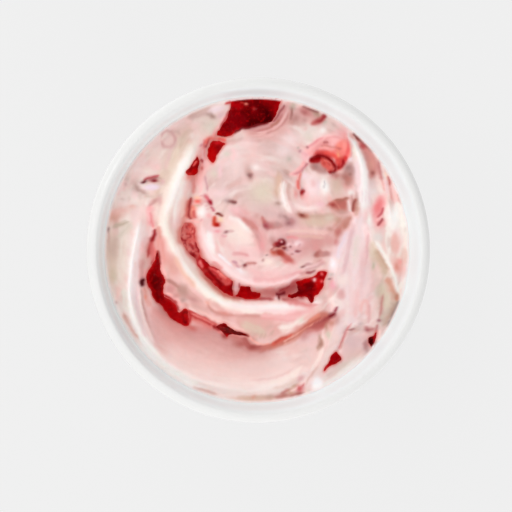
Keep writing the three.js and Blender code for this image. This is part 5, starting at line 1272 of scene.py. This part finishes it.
deselect_everything()
bpy.ops.mesh.primitive_grid_add(x_subdivisions=grid_cells, y_subdivisions=grid_cells, size=2)
ice_cream = named("ice_cream_swirl")
corners = vertex_places(ice_cream) * MM
a, b = np.clip(corners[:, 0], -1, 1), np.clip(corners[:, 1], -1, 1)
wide = np.abs(a) >= np.abs(b)
reach = np.where(wide, a, b)
other = np.where(wide, b, a)
turn = np.where(reach == 0, 0, other / np.where(reach == 0, 1, reach)) * math.pi / 4
plan_x = edge_radius * reach * np.where(wide, np.cos(turn), np.sin(turn))
plan_y = edge_radius * reach * np.where(wide, np.sin(turn), np.cos(turn))
top = surface(plan_x, plan_y)
pool_carve = 1.3
for outline in pools.values():
    top -= pool_carve * ease(inside(*ragged(plan_x, plan_y, 1.2), outline, 3) / 1.4)
ice_cream.data.vertices.foreach_set("co", (np.stack([plan_x, plan_y, top], 1) * MM).ravel())
ice_cream.data.update()


def wall_radius(height):
    """How far from the axis the ice cream reaches at a height, just into the bowl's wall."""
    return math.sqrt((hollow_radius + into_wall) ** 2 - (centre_height - height) ** 2)


rim_level = 34
bpy.ops.object.mode_set(mode="EDIT")
select_vertices(ice_cream, lambda x, y, z: np.hypot(x, y) > edge_radius - 0.01)
bpy.ops.mesh.extrude_region_move()
bpy.ops.transform.resize(value=(wall_radius(rim_level) / edge_radius,) * 2 + (0,),
                         center_override=(0, 0, rim_level * MM))
radius, height = wall_radius(rim_level), rim_level
for next_height in (28, 21, 14, 9, 6.4):
    extrude_ring(wall_radius(next_height) / radius, next_height - height)
    radius, height = wall_radius(next_height), next_height
close_to_a_point(centre_height - hollow_radius - into_wall - height)
bpy.ops.mesh.select_all(action="SELECT")
bpy.ops.mesh.normals_make_consistent(inside=False)
bpy.ops.object.mode_set(mode="OBJECT")
bpy.ops.object.shade_smooth()

places = vertex_places(ice_cream)
canvas = Canvas(places[:, 0], places[:, 1], (240, 214, 207))
paint(canvas)
canvas.store(ice_cream)

cream_finish = Finish("strawberry_ice_cream", IOR=1.35, Specular_IOR_Level=0.25,
                      Subsurface_Weight=0.25, Subsurface_Scale=0.001)
cream_finish.dress({"Subsurface Radius": (1.0, 0.6, 0.5)})
tint = cream_finish.node("ShaderNodeAttribute", {"attribute_name": "tint"}, {}, "Color")
mottle = cream_finish.noise(1.6, 3.0)
grain = cream_finish.noise(0.45, 2.0)
toned = cream_finish.node("ShaderNodeHueSaturation", {}, {"Color": tint, "Value": 0.97 + mottle * 0.06})
cream_finish.dress({
    "Base Color": toned,
    "Roughness": 0.34 + mottle * 0.16,
    "Normal": cream_finish.bump(mottle * 0.6 + grain * 0.4, 0.12, 0.5),
})
ice_cream.data.materials.append(cream_finish.material)
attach(ice_cream, "root")
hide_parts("ice_cream")

# The jam. Ten pools of soft strawberry jam lie in the hollows of the folds: lumps of fruit in a clear
# red jelly, bright where it is thin at the shore and almost black-red where it is deep.
pool_step = 0.3
pool_bulge = 0.55
pool_shoulder = 2
pool_thickness = 1.4
shore = 1


def jam_tones_and_highlights(canvas):
    """What differs from place to place in the pools: thin stretches, dark hollows and bright spots, the
    bright spots painted highlights.
    """
    pull, dab, dabs, fill = canvas.pull, canvas.dab, canvas.dabs, canvas.fill
    fill((212, 98, 92), 1, 0.8, [-28, 10, -21, 10, -20, 4, -19.6, -1, -21, -3.6, -22.6, -4.8, -25, -3.6,
        -28, 1])
    dabs((204, 76, 68, 0.9, -23.8, 8, 1.3, 0.8), (232, 150, 142, 0.9, -22.3, 8.3, 0.7, 0.9),
        (228, 140, 132, 0.8, -25.6, 7.6, 0.6, 0.8), (204, 118, 112, 0.95, -27, 6, 0.9, 2.4),
        (232, 146, 138, 0.95, -25.6, 4.9, 0.9, 1.2, 20), (226, 116, 108, 0.9, -23.2, 5.6, 0.7, 1.6),
        (230, 140, 132, 0.95, -25.4, 1.9, 0.8, 1, 40), (224, 128, 122, 0.9, -23.8, 0.4, 1.4, 0.7, -45),
        (222, 120, 114, 0.9, -22.4, 3, 0.5, 0.9, 20), (212, 124, 118, 0.95, -25, -1.2, 1.5, 0.9, -45))
    canvas.pulp((156, 34, 40), 0.8, 0.8, 1.5, [-28, 9.6, -25.4, 8.6, -22.4, 9, -21, 4, -20, -1, -21.2, -3.6,
        -24.4, -2.4, -27, 1])
    canvas.pulp((244, 170, 162), 0.7, 0.6, 1.1, [-28, 8.6, -21, 8.6, -20.6, 2, -21.4, -2.6, -24.6, -2.6,
        -28, 2])
    pull((160, 34, 42), 0.9, (0.35, 0.4), [-26.8, 4.6, -25.9, 3.2, -24.4, 3.4], 0.3, streak=0.6)
    pull((136, 16, 26), 0.95, (0.35, 0.4), [-24, 2.4, -22.9, 1.2, -22.4, -0.4], (0.2, 0.3), streak=0.6)
    pull((146, 24, 34), 0.95, (0.4, 0.45), [-22, 3, -21.5, 1.6, -20.9, 0.4,
        -20.3, -1.4], (0.3, 0.1), streak=0.5)
    dabs((134, 6, 14, 0.95, -22.4, -2.2, 1.1, 0.7, -35), (202, 70, 72, 0.95, -21.2, -4.6, 1.5, 0.9, -45))
    pull((236, 128, 126), 0.95, (0.6, 0.7), [-20.4, -3.4, -19.6, -5.4, -19, -7], (0.1, 0.2))
    pull((204, 76, 74), 0.95, 0.9, [-20.8, -6, -18.6, -9.2, -15.8, -12.4, -13.4, -14.4], 0.15)
    pull((136, 0, 8), 0.95, 1, [-18.4, -6.4, -16.2, -9, -13.4, -12, -10, -15])
    pull((196, 34, 34), 0.8, (0.3, 0.35), [-17.6, -8, -15.4, -10.4, -12.8, -13], (0.1, 0.2))
    dab((176, 10, 16), 0.9, -11.6, -13.6, 1.2, 0.8, -40)
    fill((228, 92, 88), 1, 0.5, [-17.4, -6, -15, -5.6, -12.6, -7.6, -10.6, -9.6, -8.6, -11, -9.4, -12.4,
        -11.4, -12.6, -13.4, -10.8, -15.4, -8.6])
    pull((150, 14, 28), 0.95, (0.4, 0.5), [-19.4, -3, -18, -4.6, -16, -5.8, -14, -7, -13, -8])
    pull((184, 40, 46), 0.9, (0.3, 0.4), [-16.4, -7.2, -15, -8, -13.6, -9.6, -12.4, -11], (0.1, 0.2))
    pull((255, 156, 148), 1, 0.4, [-14.6, -7.2, -12.6, -9, -10.8, -10.8])
    pull((240, 116, 110), 0.9, 0.3, [-15.8, -6.6, -14.2, -8.2, -12.8, -9.8])
    pull((136, 0, 16), 0.9, 0.5, [-9.6, -10.8, -9, -11.8, -9, -13.4, -9.2, -15.4])
    dabs((214, 60, 58, 0.9, -15.4, -11.4, 0.6, 0.4, -40), (200, 84, 88, 0.8, 12.4, -14, 1.6, 1.2))
    pull((165, 0, 12), 0.9, (1.4, 1), [-5.6, -14.6, -2.4, -15.4, -0.4, -16])
    dabs((92, 0, 3, 1, -1.6, 47, 6.6, 5, 6, 5), (110, 0, 4, 0.9, -8, 45, 2.6, 2.4, 30, 3))
    pull((64, 0, 3), 1, (1, 0.8), [-6, 43.2, -2, 44, 2, 44.6, 5, 46])
    dabs((62, 0, 3, 0.9, 3.4, 46.8, 1.2, 2.4, 20), (124, 0, 6, 0.9, -1.4, 48.6, 1.6, 2.2),
        (178, 2, 10, 1, -7, 50, 2.4, 1.6, -10, 3), (146, 0, 6, 0.9, -8, 47, 1.4, 2),
        (176, 0, 6, 0.95, -11.6, 41, 2.2, 1.5, 20))
    pull((168, 0, 8), 1, 1, [5.8, 47, 6.6, 49.6, 6.8, 52])
    # A painted highlight on the top pool.
    dab((255, 150, 130), 1, -4.2, 50.5, 0.6, 0.5)
    pull((226, 70, 60), 0.9, 0.3, [-4.6, 50.8, -6, 51.3, -6.6, 51.2])
    # The first dab is a faint painted highlight on the top pool.
    dabs((190, 60, 56, 0.9, -1.4, 49.1, 0.5, 0.5), (190, 0, 2, 0.9, -15.8, 33.4, 1.4, 3.2, 0, 3),
        (150, 0, 12, 0.8, -13.6, 34.6, 0.7, 1.8, -25), (216, 30, 40, 0.9, -14, 37.2, 1.2, 0.5, 10),
        (196, 0, 2, 1, -22.2, 27.4, 1.3, 1.2))
    pull((146, 0, 6), 1, (0.45, 0.5), [-20.6, 32.2, -22, 30, -23.6, 28, -24.8, 26.3], 0.05)
    pull((240, 104, 96), 1, (0.35, 0.4), [-21, 31, -21.8, 29.8, -22.8, 28.8])
    dabs((214, 46, 42, 0.9, -23.7, 26.2, 0.8, 0.5), (90, 0, 3, 0.95, -35.4, -12, 1.6, 2.8, 0, 3),
        (100, 0, 4, 0.7, -34, -17, 2, 1.4, -30), (172, 0, 6, 0.8, -31.4, -19.4, 2, 1.6, -40),
        (170, 0, 6, 0.8, -28, -24.4, 2.2, 1.4, -40), (92, 0, 0, 1, -9, -28.6, 6, 1.9, -20, 6),
        (130, 4, 8, 0.8, -13.4, -27.2, 1, 0.7))
    pull((206, 70, 62), 0.9, (0.5, 0.4), [13.6, -11, 16, -10.2, 19, -9.7])
    pull((112, 0, 5), 0.95, 0.7, [14.2, -13, 14.8, -15.2, 13, -16.6, 11, -16.6])
    dabs((108, 0, 4, 0.9, 17, -12.4, 1.4, 0.8, 20), (112, 0, 4, 0.9, 18.2, -16.6, 0.9, 2.2, 20),
        (186, 0, 4, 0.9, 16.6, -11, 1.6, 0.8), (196, 4, 6, 0.9, 21, -12.4, 1.2, 2.2),
        (60, 0, 0, 1, 39.8, -32.6, 1.1, 2.2, 0, 4))
    pull((168, 30, 34), 1, (0.35, 0.4), [41.7, -28.6, 41.3, -31, 40.5, -33.6], (0.1, 0.2))
    # The pale and pink dabs at 19.8, -10.8, 22.4, -8.7 and 22.2, -11.3 are painted highlights.
    dabs((150, 0, 10, 0.9, 26.6, -38.4, 2, 1.6), (200, 50, 54, 0.9, 23.8, -42, 0.8, 1),
        (255, 214, 214, 1, 19.8, -10.8, 0.75, 0.6, -40), (232, 110, 108, 0.95, 22.4, -8.7, 0.4, 0.6),
        (250, 120, 120, 1, 22.2, -11.3, 0.6, 0.5), (186, 0, 6, 0.8, -4.4, -15.4, 2.4, 1.4))
    pull((120, 4, 10), 0.9, (0.6, 0.7), [-35, -0.8, -34.9, -3, -34.6, -6, -33.8, -8.6], (0.05, 0.2))
    pull((112, 0, 4), 0.8, (1.2, 1), [-34, -8.6, -33.8, -12, -34.2, -16], (0.2, 0.3))
    dab((206, 72, 68), 0.7, -18.2, -7.4, 1, 0.7, -40)
    fill((124, 0, 8), 0.8, 1.2, [-9.4, 47.6, -11.2, 45, -12.6, 42.4, -12, 41, -8, 41.6, -4, 43, -4.6, 47])


jelly = Finish("strawberry_jam", IOR=1.34, Specular_IOR_Level=0.1,
               Subsurface_Weight=0.1, Subsurface_Scale=0.0008)
jelly.dress({"Subsurface Radius": (1.0, 0.2, 0.15)})
tint = jelly.node("ShaderNodeAttribute", {"attribute_name": "tint"}, {}, "Color")
pulp = jelly.noise(1.3, 2.0)
fibre = jelly.noise(0.5, 2.0)
jelly.dress({
    "Base Color": jelly.mix(pulp.above(0.62, 0.2) * 0.3, tint, rgba((206, 10, 12))),
    "Roughness": 0.1 + fibre * 0.12,
    "Normal": jelly.bump(pulp * 0.7 + fibre * 0.3, 0.2, 0.5),
})

for name, outline in pools.items():
    line = smooth_line(outline, 0.5, closed=True)
    low, high = line.min(0) - shore, line.max(0) + shore
    size = high - low
    centre = (low + high) / 2
    deselect_everything()
    bpy.ops.mesh.primitive_grid_add(x_subdivisions=int(size[0] / pool_step),
                                    y_subdivisions=int(size[1] / pool_step), size=1, location=(0, 0, 0))
    pool = named(name.replace("jam", "jam_pool"))
    places = vertex_places(pool) * MM
    x, y = places[:, 0] * size[0] + centre[0], places[:, 1] * size[1] + centre[1]
    depth = inside(*ragged(x, y, 1.2), outline, 4)
    lumps = 0.28 * noise(x, y, 1.9, 21) + 0.12 * noise(x, y, 0.9, 22)
    from_wall = ease((fill_radius - np.hypot(x, y)) / 2)
    top = surface(x, y) + (pool_bulge * ease(depth / pool_shoulder) + lumps * ease(depth / 1.2)) * from_wall
    top += np.minimum(depth, 0) * 1.2 - 0.05
    pool.data.vertices.foreach_set("co", (np.stack([x, y, top], 1) * MM).ravel())
    pool.data.update()
    bpy.ops.object.mode_set(mode="EDIT")
    spare = (depth < -0.7) | (np.hypot(x, y) > edge_radius)
    select_vertices(pool, lambda px, py, pz: spare)
    bpy.ops.mesh.delete(type="VERT")
    bpy.ops.mesh.select_all(action="SELECT")
    bpy.ops.mesh.extrude_region_move(TRANSFORM_OT_translate={"value": (0, 0, -pool_thickness * MM)})
    bpy.ops.mesh.select_all(action="SELECT")
    bpy.ops.mesh.normals_make_consistent(inside=False)
    bpy.ops.object.mode_set(mode="OBJECT")
    bpy.ops.object.shade_smooth()
    places = vertex_places(pool)
    canvas = Canvas(places[:, 0], places[:, 1], (208, 66, 64))
    depth = inside(*ragged(places[:, 0], places[:, 1], 1.2), outline, 4)
    everywhere = np.arange(len(depth))
    canvas.lay((168, 0, 5), everywhere, ease((depth + 0.1) / 0.7))
    blotches = ease(0.6 + 0.9 * noise(canvas.x, canvas.y, 2.6, 31))
    canvas.lay((112, 0, 3), everywhere, 0.9 * ease((depth - 0.4) / 2) * blotches)
    canvas.lay((92, 0, 4), everywhere, 0.5 * ease(noise(canvas.x, canvas.y, 1.7, 32)))
    jam_tones_and_highlights(canvas)
    # A painted highlight round the pool's edge at the bowl.
    canvas.painted_edge_highlight(52.5)
    canvas.store(pool)
    pool.data.materials.append(jelly.material)
    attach(pool, "root")
    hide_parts(name)

# The plain pale floor, the soft light from the left and the camera, almost straight above.
floor_size = 6000
deselect_everything()
bpy.ops.mesh.primitive_plane_add(size=floor_size * MM, location=(0, 0, -0.05 * MM))
floor = named("floor")
paper = Finish("pale_floor", Roughness=0.9, Specular_IOR_Level=0.0)
paper.dress({
    "Base Color": rgba((90, 90, 90)),
    "Emission Color": rgba((239, 239, 239)),
    "Emission Strength": 0.88,
})
floor.data.materials.append(paper.material)

world = bpy.data.worlds.new("studio")
world.use_nodes = True
world.node_tree.nodes["Background"].inputs["Color"].default_value = (1, 1, 1, 1)
world.node_tree.nodes["Background"].inputs["Strength"].default_value = 0.73
world.cycles_visibility.glossy = False
bpy.context.scene.world = world
bpy.context.scene.view_settings.view_transform = "Standard"


def softbox(name, azimuth, elevation, distance, size, power, diffuse=True, glossy=True):
    """A square light at an angle round the dessert, in degrees from +X, facing it."""
    target = Vector((0, 0, fill_height * MM))
    out = Vector((
        math.cos(math.radians(azimuth)) * math.cos(math.radians(elevation)),
        math.sin(math.radians(azimuth)) * math.cos(math.radians(elevation)),
        math.sin(math.radians(elevation))))
    light = bpy.data.lights.new(name, "AREA")
    light.size = size
    light.energy = power
    lamp = bpy.data.objects.new(name, light)
    lamp.location = target + out * distance
    lamp.rotation_euler = out.to_track_quat("Z", "Y").to_euler()
    lamp.visible_diffuse = diffuse
    lamp.visible_glossy = glossy
    bpy.context.scene.collection.objects.link(lamp)


softbox("key", 176, 42, 1.2, 0.7, 3.1, glossy=False)
softbox("upper_fill", 116, 26, 1.2, 0.7, 3.4, glossy=False)
softbox("lower_fill", 280, 20, 1.2, 0.7, 4.6, glossy=False)
softbox("glint", 150, 58, 1.2, 0.16, 1.4, diffuse=False)

camera_lens = 142.3
camera_distance = 0.7
aim = Vector((-1.5, -1.85, bowl_height)) * MM
lean = Vector((-math.tan(math.radians(6)), math.tan(math.radians(1.5)), 1)).normalized()
across = Vector((0, 1, 0)).cross(lean).normalized()
turned = Matrix((across, lean.cross(across), lean)).transposed().to_4x4()
lens = bpy.data.cameras.new("camera")
lens.lens = camera_lens
lens.clip_start = 0.01
camera = bpy.data.objects.new("camera", lens)
camera.matrix_world = Matrix.Translation(aim + lean * camera_distance) @ turned
bpy.context.scene.collection.objects.link(camera)
bpy.context.scene.camera = camera
